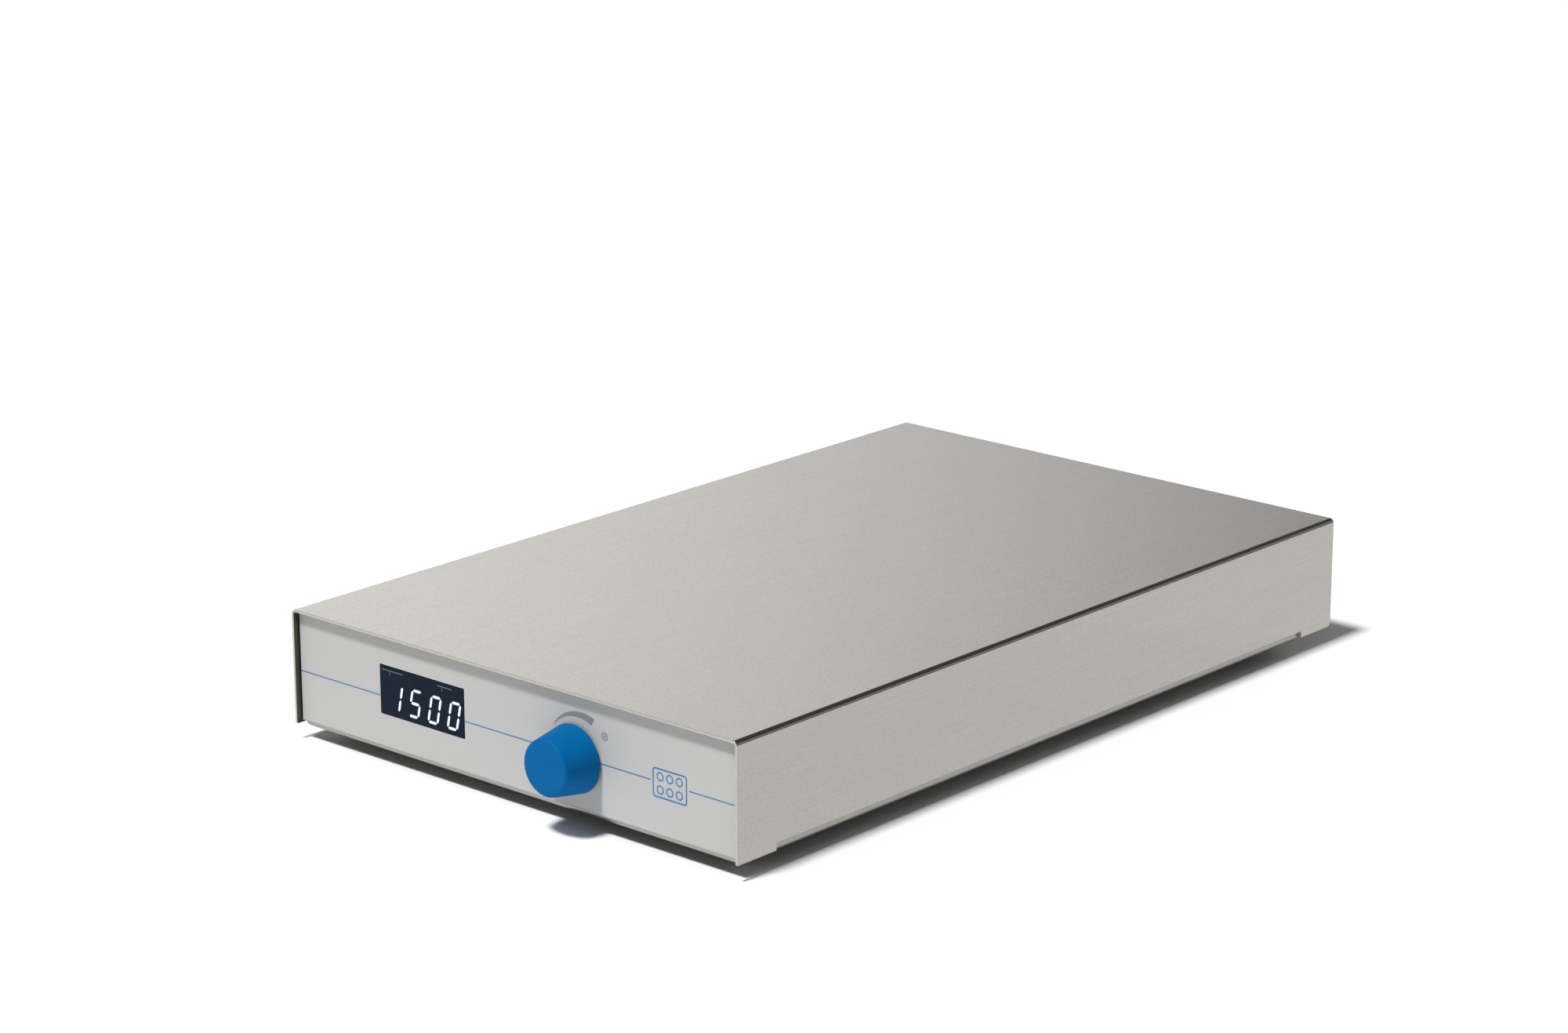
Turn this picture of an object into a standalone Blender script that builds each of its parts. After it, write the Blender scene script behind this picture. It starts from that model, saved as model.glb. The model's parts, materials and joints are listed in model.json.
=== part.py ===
"""A six-position laboratory magnetic stirrer, built the way the real one comes apart on a bench.

A folded stainless cover slides over a plain steel tray. Inside, one motor turns six magnet rotors through
a single round belt. The front wall carries a digital display and a push encoder with its knob, and the rear
wall, set back under the cover, carries the mains inlet and the power switch.

+X is to the right along the front, the front faces -Y, and +Z is up. The origin is on the surface that the
feet stand on, under the middle of the object. Dimensions are in millimetres and MM turns them into metres.
"""

import math

import bmesh
import bpy
from mathutils import Matrix, Vector

MM = 0.001

# Housing
COVER_WIDTH = 228.0
COVER_DEPTH = 360.0
TOP = 52.0  # height of the plate that the vessels stand on
FOOT_HEIGHT = 5.0
SHEET = 1.0  # thickness of the cover and of the tray
COVER_BEND = 2.0  # outer radius of the cover's two long bends
TRAY_BEND = 2.0
GAP = 0.3  # clearance that neighbouring pieces keep
KNOB_PROUD = 13.4  # how far the knob reaches in front of the cover
TAB_RISE = 1.2  # height of the cover's end tabs above the tray's underside
CUTOUT_RISE = 3.9  # height of the cover's long side cut-outs above the tray's underside
TAB_LENGTH = 20.5
PANEL_RECESS = 2.5  # from the cover's front edge back to the graphic overlay
REAR_OVERHANG = 19.0  # from the cover's rear edge forward to the rear wall
SIDE_FLANGE = 15.0  # height of the tray's long side walls

# Worked out from the above
FRONT = -(COVER_DEPTH - KNOB_PROUD) / 2
BACK = FRONT + COVER_DEPTH
TRAY_UNDER = FOOT_HEIGHT
FLOOR = TRAY_UNDER + SHEET
CEILING = TOP - SHEET
OVERLAY = 0.3
OVERLAY_FACE = FRONT + PANEL_RECESS
TRAY_FRONT = OVERLAY_FACE + OVERLAY + GAP
TRAY_REAR = BACK - REAR_OVERHANG
TRAY_HALF = COVER_WIDTH / 2 - SHEET - 0.4
TRAY_TOP = CEILING - 0.4

# Stirring positions: two columns of three
COLUMN = 52.0
ROW_PITCH = 95.0
ROW_MIDDLE = FRONT + COVER_DEPTH / 2
POSITIONS = [(side * COLUMN, ROW_MIDDLE + row * ROW_PITCH) for side in (-1, 1) for row in (-1, 0, 1)]

# Belt drive
BELT_RADIUS = 1.8
BELT_HEIGHT = 36.5
ROTOR_PITCH = 22.0  # radius of the belt's centre line on a rotor
MOTOR_PITCH = 9.0
ROLLER_PITCH = 7.0
GROOVE_DEPTH = 2.3  # from the pitch radius in to the groove's floor
GROOVE_LIP = 1.5  # from the pitch radius out to the rim
MOTOR_AT = (0.0, -137.0)
IDLERS = {"left": (-24.0, -119.0), "right": (24.0, -119.0)}
BELT_PRESS = 5.0  # how far the tensioner's roller presses the belt in
ROLLER_LOW = 33.2
ROLLER_TOP = 39.8
ROLLER_JOURNAL = 2.0
POST_RADIUS = 3.5
POST_SHOULDER = 32.9
POST_TOP = 40.6
MOTOR_RADIUS = 17.5
MOTOR_TOP = 29.0
BOSS_RADIUS = 6.0
MOTOR_SHAFT_RADIUS = 2.5
ARM_LOW = 27.0
ARM_SHEET = 2.5
TENSIONER_AT = (0.0, POSITIONS[2][1] + ROTOR_PITCH + ROLLER_PITCH - BELT_PRESS)
PIVOT_AT = (36.0, TENSIONER_AT[1] + 8.0)
ROTOR_BASE = 33.2
ROTOR_TOP = 48.5
ROTOR_JOURNAL = 3.0
JOURNAL_TOP = 41.0
MAGNET = (19.0, 5.0)  # half length and half width
MAGNET_POCKET = 6.3

# Front panel, heights above the standing surface
WINDOW = (-68.5, -23.4, 20.1, 39.7)  # left, right, bottom, top
KNOB_AT = (33.5, 26.5)
KNOB_BASE_RADIUS = 13.1
KNOB_FACE_RADIUS = 10.9
KNOB_EDGE = 1.3
SHAFT_RADIUS = 3.0
BUSHING_RADIUS = 4.5
NUT_WIDTH = 6.4  # centre to corner
BOARD_FRONT = FRONT + 13.6
BOARD_SHEET = 1.6

# Rear panel
REAR_HEIGHT = 28.0  # of the middle of the inlet, the switch and the vents
INLET_AT = (-70.0, REAR_HEIGHT)
INLET_OPENING = (14.0, 10.5)  # half width and half height
SWITCH_AT = (-36.0, REAR_HEIGHT)
SWITCH_OPENING = (6.8, 9.8)
REAR_VENTS = [24.0 + 9.0 * i for i in range(6)]
FLOOR_VENTS = [(side * 22.0, -60.0 + 8.0 * i) for i in range(5) for side in (-1, 1)]
ROCKER_TILT = 9.0

FEET = [(side * 92.0, y) for side in (-1, 1) for y in (FRONT + 32.0, TRAY_REAR - 21.0)]
PILLARS = [(side * 104.0, y) for side in (-1, 1) for y in (FRONT + 14.0, TRAY_REAR - 10.0)]
FOOT_STEM = 2.4
FOOT_HOLE = 2.8
SCREW_RADIUS = 2.0
SCREW_HOLE = 2.4
PILLAR_BORE = 2.3
SPINDLE_HOLE = 3.0
POWER_BOARD = (-38.0, 38.0, 44.0, 116.0)  # left, right, front, rear
BOARD_LIFT = 6.0

# Sides of a turned piece
LARGE = 24
MEDIUM = 18
SMALL = 12

# Material slots: colour, roughness, metallic
FINISHES = {
    "stainless": ((0.62, 0.60, 0.57), 0.32, 1.0),
    "tray_steel": ((0.58, 0.56, 0.53), 0.4, 1.0),
    "overlay_film": ((0.64, 0.64, 0.64), 0.45, 0.0),
    "window_tint": ((0.012, 0.016, 0.035), 0.12, 0.0),
    "knob_blue": ((0.01, 0.14, 0.42), 0.45, 0.0),
    "rubber": ((0.02, 0.02, 0.02), 0.8, 0.0),
    "zinc_steel": ((0.55, 0.55, 0.53), 0.35, 1.0),
    "black_plastic": ((0.02, 0.02, 0.022), 0.4, 0.0),
    "rotor_plastic": ((0.75, 0.74, 0.70), 0.5, 0.0),
    "magnet": ((0.12, 0.12, 0.13), 0.45, 0.6),
    "belt": ((0.50, 0.16, 0.05), 0.55, 0.0),
    "brass": ((0.62, 0.45, 0.18), 0.3, 1.0),
    "motor_can": ((0.48, 0.48, 0.48), 0.4, 1.0),
    "board": ((0.01, 0.12, 0.05), 0.5, 0.0),
    "transformer": ((0.55, 0.45, 0.08), 0.5, 0.0),
}

FRONTWARD = Matrix.Rotation(math.radians(90), 4, "X")  # local +Z becomes -Y
REARWARD = Matrix.Rotation(math.radians(-90), 4, "X")  # local +Z becomes +Y
ALONG_X = Matrix.Rotation(math.radians(90), 4, "Z") @ Matrix.Rotation(math.radians(90), 4, "X")


def clear_scene():
    for obj in list(bpy.data.objects):
        bpy.data.objects.remove(obj)


def finish(slot):
    """The slot's material, made once."""
    if slot in bpy.data.materials:
        return bpy.data.materials[slot]
    colour, roughness, metallic = FINISHES[slot]
    material = bpy.data.materials.new(slot)
    material.use_nodes = True
    shader = material.node_tree.nodes["Principled BSDF"]
    shader.inputs["Base Color"].default_value = (*colour, 1.0)
    shader.inputs["Roughness"].default_value = roughness
    shader.inputs["Metallic"].default_value = metallic
    material.diffuse_color = (*colour, 1.0)
    return material


def add(name, bm, slot, at=(0.0, 0.0, 0.0)):
    """Turns bm, drawn in millimetres about its own origin, into an object placed at the point at."""
    bm.transform(Matrix.Scale(MM, 4))
    mesh = bpy.data.meshes.new(name)
    bm.to_mesh(mesh)
    bm.free()
    mesh.materials.append(finish(slot))
    mesh.shade_smooth()
    mesh.set_sharp_from_angle(angle=math.radians(35))
    obj = bpy.data.objects.new(name, mesh)
    obj.location = Vector(at) * MM
    bpy.context.scene.collection.objects.link(obj)
    return obj


def shape(target, bm, operation="DIFFERENCE"):
    """Cuts bm from target, or joins it on with UNION. bm is drawn about target's origin."""
    tool = add(f"{target.name}_{operation.lower()}_{len(target.modifiers)}", bm, target.active_material.name)
    tool.location = target.location
    tool.hide_render = True
    tool.display_type = "WIRE"
    modifier = target.modifiers.new(operation.title(), "BOOLEAN")
    modifier.operation = operation
    modifier.solver = "EXACT"
    modifier.object = tool


def arc(cx, cy, radius, start, end, count):
    """Points on an arc, from start to end in degrees."""
    angles = [math.radians(start + (end - start) * i / count) for i in range(count + 1)]
    return [(cx + radius * math.cos(a), cy + radius * math.sin(a)) for a in angles]


def rounded(left, right, low, high, radius, count=1):
    """A rectangle's outline with round corners, counterclockwise."""
    corners = (
        (right - radius, low + radius, -90),
        (right - radius, high - radius, 0),
        (left + radius, high - radius, 90),
        (left + radius, low + radius, 180),
    )
    return [p for x, y, start in corners for p in arc(x, y, radius, start, start + 90, count)]


def rectangle(left, right, low, high):
    return [(left, low), (right, low), (right, high), (left, high)]


def lofted(sections):
    """A closed solid through sections, each an (outline, height) with the same number of points."""
    bm = bmesh.new()
    loops = [[bm.verts.new((x, y, z)) for x, y in outline] for outline, z in sections]
    for lower, upper in zip(loops, loops[1:]):
        for i in range(len(lower)):
            j = (i + 1) % len(lower)
            bm.faces.new((lower[i], lower[j], upper[j], upper[i]))
    bm.faces.new(loops[0])
    bm.faces.new(loops[-1])
    bmesh.ops.recalc_face_normals(bm, faces=bm.faces)
    return bm


def block(left, right, front, rear, low, high):
    outline = rectangle(left, right, front, rear)
    return lofted([(outline, low), (outline, high)])


def turned(profile, steps=MEDIUM):
    """A solid turned about Z. profile is a closed outline of (radius, height); radius 0 lies on the axis."""
    bm = bmesh.new()
    angles = [math.tau * i / steps for i in range(steps)]
    rings = []
    for radius, z in profile:
        if radius == 0:
            rings.append([bm.verts.new((0, 0, z))] * steps)
        else:
            rings.append([bm.verts.new((radius * math.cos(a), radius * math.sin(a), z)) for a in angles])
    for ring, following in zip(rings, rings[1:] + rings[:1]):
        if ring[0] is ring[1] and following[0] is following[1]:
            continue
        for i in range(steps):
            j = (i + 1) % steps
            corners = list(dict.fromkeys((ring[i], ring[j], following[j], following[i])))
            bm.faces.new(corners)
    bmesh.ops.recalc_face_normals(bm, faces=bm.faces)
    return bm


def rod(radius, low, high, steps=SMALL):
    return turned([(0, low), (radius, low), (radius, high), (0, high)], steps)


def moved(bm, x=0.0, y=0.0, z=0.0):
    bm.transform(Matrix.Translation((x, y, z)))
    return bm


def facing(bm, direction):
    bm.transform(direction)
    return bm


def merged(parts):
    """Several meshes as one."""
    whole = bmesh.new()
    for bm in parts:
        mesh = bpy.data.meshes.new("part")
        bm.to_mesh(mesh)
        bm.free()
        whole.from_mesh(mesh)
        bpy.data.meshes.remove(mesh)
    return whole


# Housing


def make_cover():
    """Folded sheet: a top plate and two long sides, with a long cut-out along the foot of each side."""
    half = COVER_WIDTH / 2
    foot = TRAY_UNDER + TAB_RISE
    inner = COVER_BEND - SHEET
    bend_x = half - COVER_BEND
    bend_z = TOP - COVER_BEND
    outside = arc(bend_x, bend_z, COVER_BEND, 0, 90, 5)
    inside = arc(bend_x, bend_z, inner, 90, 0, 5)
    right = [(half, foot)] + outside
    left = [(-x, z) for x, z in reversed(right)]
    inner_right = inside + [(half - SHEET, foot)]
    inner_left = [(-x, z) for x, z in reversed(inner_right)]
    outline = right + left + inner_left + inner_right
    bm = lofted([(outline, -BACK), (outline, -FRONT)])
    cover = add("cover", facing(bm, FRONTWARD), "stainless")
    cut_top = TRAY_UNDER + CUTOUT_RISE
    cut_front = FRONT + TAB_LENGTH
    cut_rear = BACK - TAB_LENGTH
    side = rounded(cut_front, cut_rear, 0.0, cut_top, 0.8)
    corner = [(BACK + 5, 0), (BACK + 5, foot + 2)] + arc(BACK - 2, foot + 2, 2, 0, -90, 3) + [(BACK - 2, 0)]
    for outline in (side, corner):
        cutter = lofted([(outline, -half - 5), (outline, half + 5)])
        shape(cover, facing(cutter, ALONG_X))


def tray_block(shrink, low, high, radius):
    """The tray's box with a rounded underside, made smaller all round by shrink."""
    sections = []
    for inset, rise in arc(radius, radius, radius, 270, 180, 3):
        s = shrink + inset
        outline = rounded(-TRAY_HALF + s, TRAY_HALF - s, TRAY_FRONT + s, TRAY_REAR - s, 2.5 - inset)
        sections.append((outline, low + rise))
    sections.append((sections[-1][0], high))
    return lofted(sections)


def front_holes():
    left, right, low, high = WINDOW
    window = block(left, right, FRONT - 5, FRONT + 10, low, high)
    bushing = facing(rod(BUSHING_RADIUS + GAP, -10, 10, MEDIUM), FRONTWARD)
    return [window, moved(bushing, KNOB_AT[0], FRONT, KNOB_AT[1])]


def make_tray():
    """Sheet box with high front and rear walls, low sides, pressed-in board studs and all its holes."""
    tray = add("base_tray", tray_block(0.0, TRAY_UNDER, TRAY_TOP, TRAY_BEND), "tray_steel")
    shape(tray, tray_block(SHEET, FLOOR, TOP + 10, TRAY_BEND - SHEET))
    shape(tray, block(-150, 150, TRAY_FRONT + 4, TRAY_REAR - 4, TRAY_UNDER + SIDE_FLANGE, TOP + 5))
    left, right, front, rear = POWER_BOARD
    studs = [
        moved(rod(3.0, FLOOR - 0.5, FLOOR + BOARD_LIFT - GAP, 8), x, y)
        for x in (left + 5, right - 5)
        for y in (front + 5, rear - 5)
    ]
    shape(tray, merged(studs), "UNION")
    holes = front_holes()
    for radius, places in ((FOOT_HOLE, FEET), (SCREW_HOLE, PILLARS), (SPINDLE_HOLE, POSITIONS)):
        holes += [moved(rod(radius, 0, 10), x, y) for x, y in places]
    for (x, z), (half_x, half_z) in ((INLET_AT, INLET_OPENING), (SWITCH_AT, SWITCH_OPENING)):
        holes.append(block(x - half_x, x + half_x, TRAY_REAR - 5, TRAY_REAR + 5, z - half_z, z + half_z))
    upright = rounded(-1.5, 1.5, -11, 11, 1.4)
    for x in REAR_VENTS:
        bm = facing(lofted([(upright, -5), (upright, 5)]), REARWARD)
        holes.append(moved(bm, x, TRAY_REAR, REAR_HEIGHT))
    level = rounded(-14, 14, -1.75, 1.75, 1.7)
    holes += [moved(lofted([(level, 0), (level, 10)]), x, y) for x, y in FLOOR_VENTS]
    shape(tray, merged(holes))


def make_front_overlay():
    """Printed film on the tray's front wall."""
    low = TRAY_UNDER + 2.4
    bm = block(-TRAY_HALF + 0.2, TRAY_HALF - 0.2, OVERLAY_FACE, OVERLAY_FACE + OVERLAY, low, TRAY_TOP)
    overlay = add("front_overlay", bm, "overlay_film")
    shape(overlay, merged(front_holes()))


def make_window():
    """Tinted window: a pane in the front wall's opening with a wider flange behind the wall."""
    left, right, low, high = WINDOW
    pane = rectangle(left + GAP, right - GAP, low + GAP, high - GAP)
    flange = rectangle(left - 3, right + 3, low - 3, high + 3)
    back = TRAY_FRONT + SHEET + GAP
    bm = lofted([(pane, -OVERLAY_FACE), (pane, -back), (flange, -back), (flange, -back - 1.2)])
    add("display_window", facing(bm, FRONTWARD), "window_tint")


def make_feet():
    """Rubber push-in feet: the barb above the floor holds each in its hole."""
    under = TRAY_UNDER - GAP
    barb = FLOOR + GAP
    profile = [(0, 0), (6.4, 0), (7.0, 0.5), (8.0, under - 0.6), (7.6, under), (FOOT_STEM, under)]
    profile += [(FOOT_STEM, barb), (3.6, barb), (3.0, barb + 1.8), (2.0, barb + 2.6), (0, barb + 2.6)]
    for i, (x, y) in enumerate(FEET, 1):
        add(f"foot_{i}", turned(profile, SMALL + 2), "rubber", (x, y, 0))


def make_pillars_and_screws():
    """Hexagonal pillars welded under the cover, each held by a screw through the tray."""
    head = TRAY_UNDER - GAP
    screw = [(0, head - 2.2), (2.6, head - 2.2), (3.7, head - 1.3), (3.7, head)]
    screw += [(SCREW_RADIUS, head), (SCREW_RADIUS, 17), (0, 17)]
    for i, (x, y) in enumerate(PILLARS, 1):
        pillar = add(f"pillar_{i}", rod(4.04, FLOOR + GAP, CEILING - GAP, 6), "zinc_steel", (x, y, 0))
        shape(pillar, rod(PILLAR_BORE, FLOOR - 5, 18))
        fastener = add(f"cover_screw_{i}", turned(screw, SMALL), "zinc_steel", (x, y, 0))
        shape(fastener, rod(1.5, head - 5, head - 0.9, 6))


# Belt drive


def grooved(pitch, bore, low, high, hub=None):
    """Profile of a wheel with a belt groove at BELT_HEIGHT and a plain bore."""
    floor = pitch - GROOVE_DEPTH
    rim = pitch + GROOVE_LIP
    mid = BELT_HEIGHT
    hub = rim if hub is None else hub
    profile = [(bore, low), (rim, low), (rim, mid - 3.0), (floor, mid - 1.3), (floor, mid + 1.3)]
    profile += [(rim, mid + 3.0)]
    if hub != rim:
        profile += [(hub, mid + 3.0)]
    return profile + [(hub, high), (bore, high)]


def make_rotors():
    """Plastic magnet carriers on fixed spindles, each with one bar magnet let into its top."""
    journal = ROTOR_JOURNAL
    bore = journal + GAP
    pocket = ROTOR_TOP - MAGNET_POCKET
    profile = grooved(ROTOR_PITCH, bore, ROTOR_BASE, ROTOR_TOP)
    profile[-1:] = [(0, ROTOR_TOP), (0, JOURNAL_TOP + GAP), (bore, JOURNAL_TOP + GAP)]
    spindle = [(0, TRAY_UNDER), (2.7, TRAY_UNDER), (2.7, FLOOR + GAP), (9.0, FLOOR + GAP), (9.0, FLOOR + 2)]
    spindle += [(5.0, FLOOR + 3), (5.0, ROTOR_BASE - GAP), (journal, ROTOR_BASE - GAP)]
    spindle += [(journal, JOURNAL_TOP), (0, JOURNAL_TOP)]
    length, width = MAGNET
    magnet = rounded(-length, length, -width, width, 1.2)
    seat = rounded(-length - GAP, length + GAP, -width - GAP, width + GAP, 1.5)
    for i, (x, y) in enumerate(POSITIONS, 1):
        at = (x, y, 0)
        add(f"spindle_{i}", turned(spindle, SMALL), "zinc_steel", at)
        rotor = add(f"rotor_{i}", turned(profile, 20), "rotor_plastic", at)
        shape(rotor, lofted([(seat, pocket), (seat, TOP)]))
        add(f"magnet_{i}", lofted([(magnet, pocket + GAP), (magnet, ROTOR_TOP)]), "magnet", at)


def make_motor():
    x, y = MOTOR_AT
    at = (x, y, 0)
    low, boss_top = FLOOR + GAP, 31.8
    can, bore = MOTOR_RADIUS, MOTOR_SHAFT_RADIUS + GAP
    shaft_low, shaft_top = 13.0, 42.0
    body = [(0, low), (can - 1, low), (can, low + 1), (can, MOTOR_TOP - 1), (can - 1, MOTOR_TOP)]
    body += [(BOSS_RADIUS, MOTOR_TOP), (BOSS_RADIUS, boss_top), (bore, boss_top)]
    body += [(bore, shaft_low - GAP), (0, shaft_low - GAP)]
    add("motor_body", turned(body, LARGE), "motor_can", at)
    add("motor_shaft", rod(MOTOR_SHAFT_RADIUS, shaft_low, shaft_top), "zinc_steel", at)
    add("motor_pulley", turned(grooved(MOTOR_PITCH, bore, 32.6, 41.5, 6.0)), "brass", at)
    plate_low = MOTOR_TOP + GAP
    plate_high = plate_low + 1.6
    foot_high = low + 1.6
    half, reach = 30.0, 42.0
    right = [(reach, low), (reach, foot_high), (half, foot_high), (half, plate_high)]
    left = [(-px, pz) for px, pz in reversed(right)]
    inner = [(-half + 1.6, low), (-half + 1.6, plate_low), (half - 1.6, plate_low), (half - 1.6, low)]
    outline = right + left + inner
    bm = facing(lofted([(outline, -13), (outline, 13)]), FRONTWARD)
    bracket = add("motor_bracket", bm, "zinc_steel", at)
    shape(bracket, rod(BOSS_RADIUS + GAP, plate_low - 5, plate_high + 5, MEDIUM))


def post_profile(column, journal, shoulder, top):
    low = FLOOR + GAP
    profile = [(0, low), (6.5, low), (6.5, low + 1.6), (column, low + 2.4), (column, shoulder)]
    return profile + [(journal, shoulder), (journal, top), (0, top)]


def roller_profile():
    return grooved(ROLLER_PITCH, ROLLER_JOURNAL + GAP, ROLLER_LOW, ROLLER_TOP)


def make_idlers():
    """Two fixed rollers that wrap the belt round the motor's pulley."""
    for side, (x, y) in IDLERS.items():
        at = (x, y, 0)
        post = post_profile(POST_RADIUS, ROLLER_JOURNAL, POST_SHOULDER, POST_TOP)
        add(f"idler_post_{side}", turned(post, SMALL), "zinc_steel", at)
        add(f"idler_roller_{side}", turned(roller_profile()), "black_plastic", at)


def make_tensioner():
    """A sprung arm on a post: its roller presses the belt's rear run inwards."""
    px, py = PIVOT_AT
    rx, ry = TENSIONER_AT
    reach = (rx - px, ry - py)
    angle = math.atan2(reach[1], reach[0])
    length = math.hypot(*reach)
    low, high = ARM_LOW, ARM_LOW + ARM_SHEET
    pivot = (px, py, 0)
    journal = 2.5
    post = post_profile(POST_RADIUS, journal, low - GAP, high + 2.0)
    add("tensioner_post", turned(post, SMALL), "zinc_steel", pivot)
    ends = arc(0, 0, 6.0, 90, 270, 8) + arc(length, 0, 5.0, -90, 90, 8)
    arm = add("tensioner_arm", lofted([(ends, low), (ends, high)]), "zinc_steel", pivot)
    axle = [(0, low + 1), (3.6, low + 1), (3.6, POST_SHOULDER), (ROLLER_JOURNAL, POST_SHOULDER)]
    axle += [(ROLLER_JOURNAL, POST_TOP), (0, POST_TOP)]
    shape(arm, moved(turned(axle, SMALL), length), "UNION")
    shape(arm, rod(journal + GAP, low - 5, high + 5))
    arm.rotation_euler.z = angle
    for modifier in arm.modifiers:
        modifier.object.rotation_euler.z = angle
    add("tensioner_roller", turned(roller_profile()), "black_plastic", (rx, ry, 0))
    make_spring(pivot, angle, low - GAP)


def make_spring(at, angle, top):
    """A torsion spring round the tensioner's post, with one leg along the underside of the arm."""
    wire = 0.6
    coil = 5.2
    turns = 4
    per_turn = 10
    pitch = 2 * wire + 0.35
    points = []
    for i in range(turns * per_turn + 1):
        a = angle + math.radians(90) - math.tau * (turns - i / per_turn)
        z = top - wire - pitch * (turns - i / per_turn)
        points.append(Vector((coil * math.cos(a), coil * math.sin(a), z)))
    along = Vector((math.cos(angle), math.sin(angle), 0))
    points.append(points[-1] + along * -2.0)
    points.append(points[-1] + along * -8.0)
    curve = bpy.data.curves.new("tensioner_spring", "CURVE")
    curve.dimensions = "3D"
    curve.bevel_depth = wire * MM
    curve.bevel_resolution = 1
    curve.use_fill_caps = True
    spline = curve.splines.new("POLY")
    spline.points.add(len(points) - 1)
    for point, co in zip(spline.points, points):
        point.co = (*(co * MM), 1.0)
    curve.materials.append(finish("zinc_steel"))
    obj = bpy.data.objects.new("tensioner_spring", curve)
    obj.location = Vector(at) * MM
    bpy.context.scene.collection.objects.link(obj)


def belt_route():
    """The belt's centre line: tangent runs between wheels and arcs round them, anticlockwise from above.

    A wheel inside the loop has sense 1, and one that presses on its outside has sense -1.
    """
    left, right = POSITIONS[:3], POSITIONS[3:]
    wheels = [
        (left[0], ROTOR_PITCH, 1),
        (IDLERS["left"], ROLLER_PITCH, -1),
        (MOTOR_AT, MOTOR_PITCH, 1),
        (IDLERS["right"], ROLLER_PITCH, -1),
        (right[0], ROTOR_PITCH, 1),
        (right[1], ROTOR_PITCH, -1),
        (right[2], ROTOR_PITCH, 1),
        (TENSIONER_AT, ROLLER_PITCH, -1),
        (left[2], ROTOR_PITCH, 1),
        (left[1], ROTOR_PITCH, -1),
    ]
    headings = []
    for (here, r0, s0), (there, r1, s1) in zip(wheels, wheels[1:] + wheels[:1]):
        dx, dy = there[0] - here[0], there[1] - here[1]
        lean = math.asin((s0 * r0 - s1 * r1) / math.hypot(dx, dy))
        headings.append(math.atan2(dy, dx) + lean)
    points = []
    step = math.radians(15)
    for i, (centre, radius, sense) in enumerate(wheels):
        start, end = headings[i - 1], headings[i]
        sweep = (end - start) * sense % math.tau
        count = max(2, math.ceil(sweep / step))
        for k in range(count + 1):
            a = start + sense * sweep * k / count - sense * math.pi / 2
            points.append((centre[0] + radius * math.cos(a), centre[1] + radius * math.sin(a)))
    return points


def make_belt():
    curve = bpy.data.curves.new("drive_belt", "CURVE")
    curve.dimensions = "3D"
    curve.bevel_depth = BELT_RADIUS * MM
    curve.bevel_resolution = 1
    points = belt_route()
    spline = curve.splines.new("POLY")
    spline.points.add(len(points) - 1)
    for point, (x, y) in zip(spline.points, points):
        point.co = (x * MM, y * MM, BELT_HEIGHT * MM, 1.0)
    spline.use_cyclic_u = True
    curve.materials.append(finish("belt"))
    belt = bpy.data.objects.new("drive_belt", curve)
    bpy.context.scene.collection.objects.link(belt)


# Controls


def make_control_board():
    left, right, low, high = WINDOW
    board_rear = BOARD_FRONT + BOARD_SHEET
    add("control_board", block(left - 12, KNOB_AT[0] + 20, BOARD_FRONT, board_rear, 11.0, 47.0), "board")
    face = TRAY_FRONT + SHEET + GAP + 1.2 + GAP
    bm = block(left + 2.5, right - 2.5, face, BOARD_FRONT - GAP, low + 2.3, high - 2.3)
    add("display_module", bm, "black_plastic")


def make_encoder():
    """Push encoder: a body held by its nut, a detent rotor in it, and a shaft that slides through the rotor.

    Distances are measured forward from the cover's front edge.
    """
    at = (KNOB_AT[0], FRONT, KNOB_AT[1])
    rear = FRONT - BOARD_FRONT + GAP
    body_front = -(TRAY_FRONT + SHEET + GAP - FRONT)
    nut_back = -PANEL_RECESS + GAP
    bushing_front = nut_back + 2.4
    bm = block(-6.2, 6.2, -6.7, 6.7, rear, body_front)
    body = add("encoder_body", facing(bm, FRONTWARD), "zinc_steel", at)
    bushing = rod(BUSHING_RADIUS, rear + 3, bushing_front, MEDIUM)
    shape(body, facing(bushing, FRONTWARD), "UNION")
    rotor_rear = rear + 1.6
    bore = SHAFT_RADIUS + GAP
    cavity_front = rotor_rear + 2.8
    hollow = [(0, rotor_rear - GAP), (5.2, rotor_rear - GAP), (5.2, cavity_front), (bore, cavity_front)]
    hollow += [(bore, bushing_front + 5), (0, bushing_front + 5)]
    shape(body, facing(turned(hollow), FRONTWARD))
    ring = [(bore, rotor_rear), (4.9, rotor_rear), (4.9, rotor_rear + 2.5), (bore, rotor_rear + 2.5)]
    add("encoder_rotor", facing(turned(ring), FRONTWARD), "brass", at)
    nut = add("encoder_nut", facing(rod(NUT_WIDTH, nut_back, nut_back + 2, 6), FRONTWARD), "zinc_steel", at)
    shape(nut, facing(rod(BUSHING_RADIUS + GAP, nut_back - 5, nut_back + 5, MEDIUM), FRONTWARD))
    shaft_front = KNOB_PROUD - 3.0
    shaft = rod(SHAFT_RADIUS, rotor_rear + 0.7, shaft_front, MEDIUM)
    add("encoder_shaft", facing(shaft, FRONTWARD), "zinc_steel", at)
    make_knob(at, shaft_front)


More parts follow.
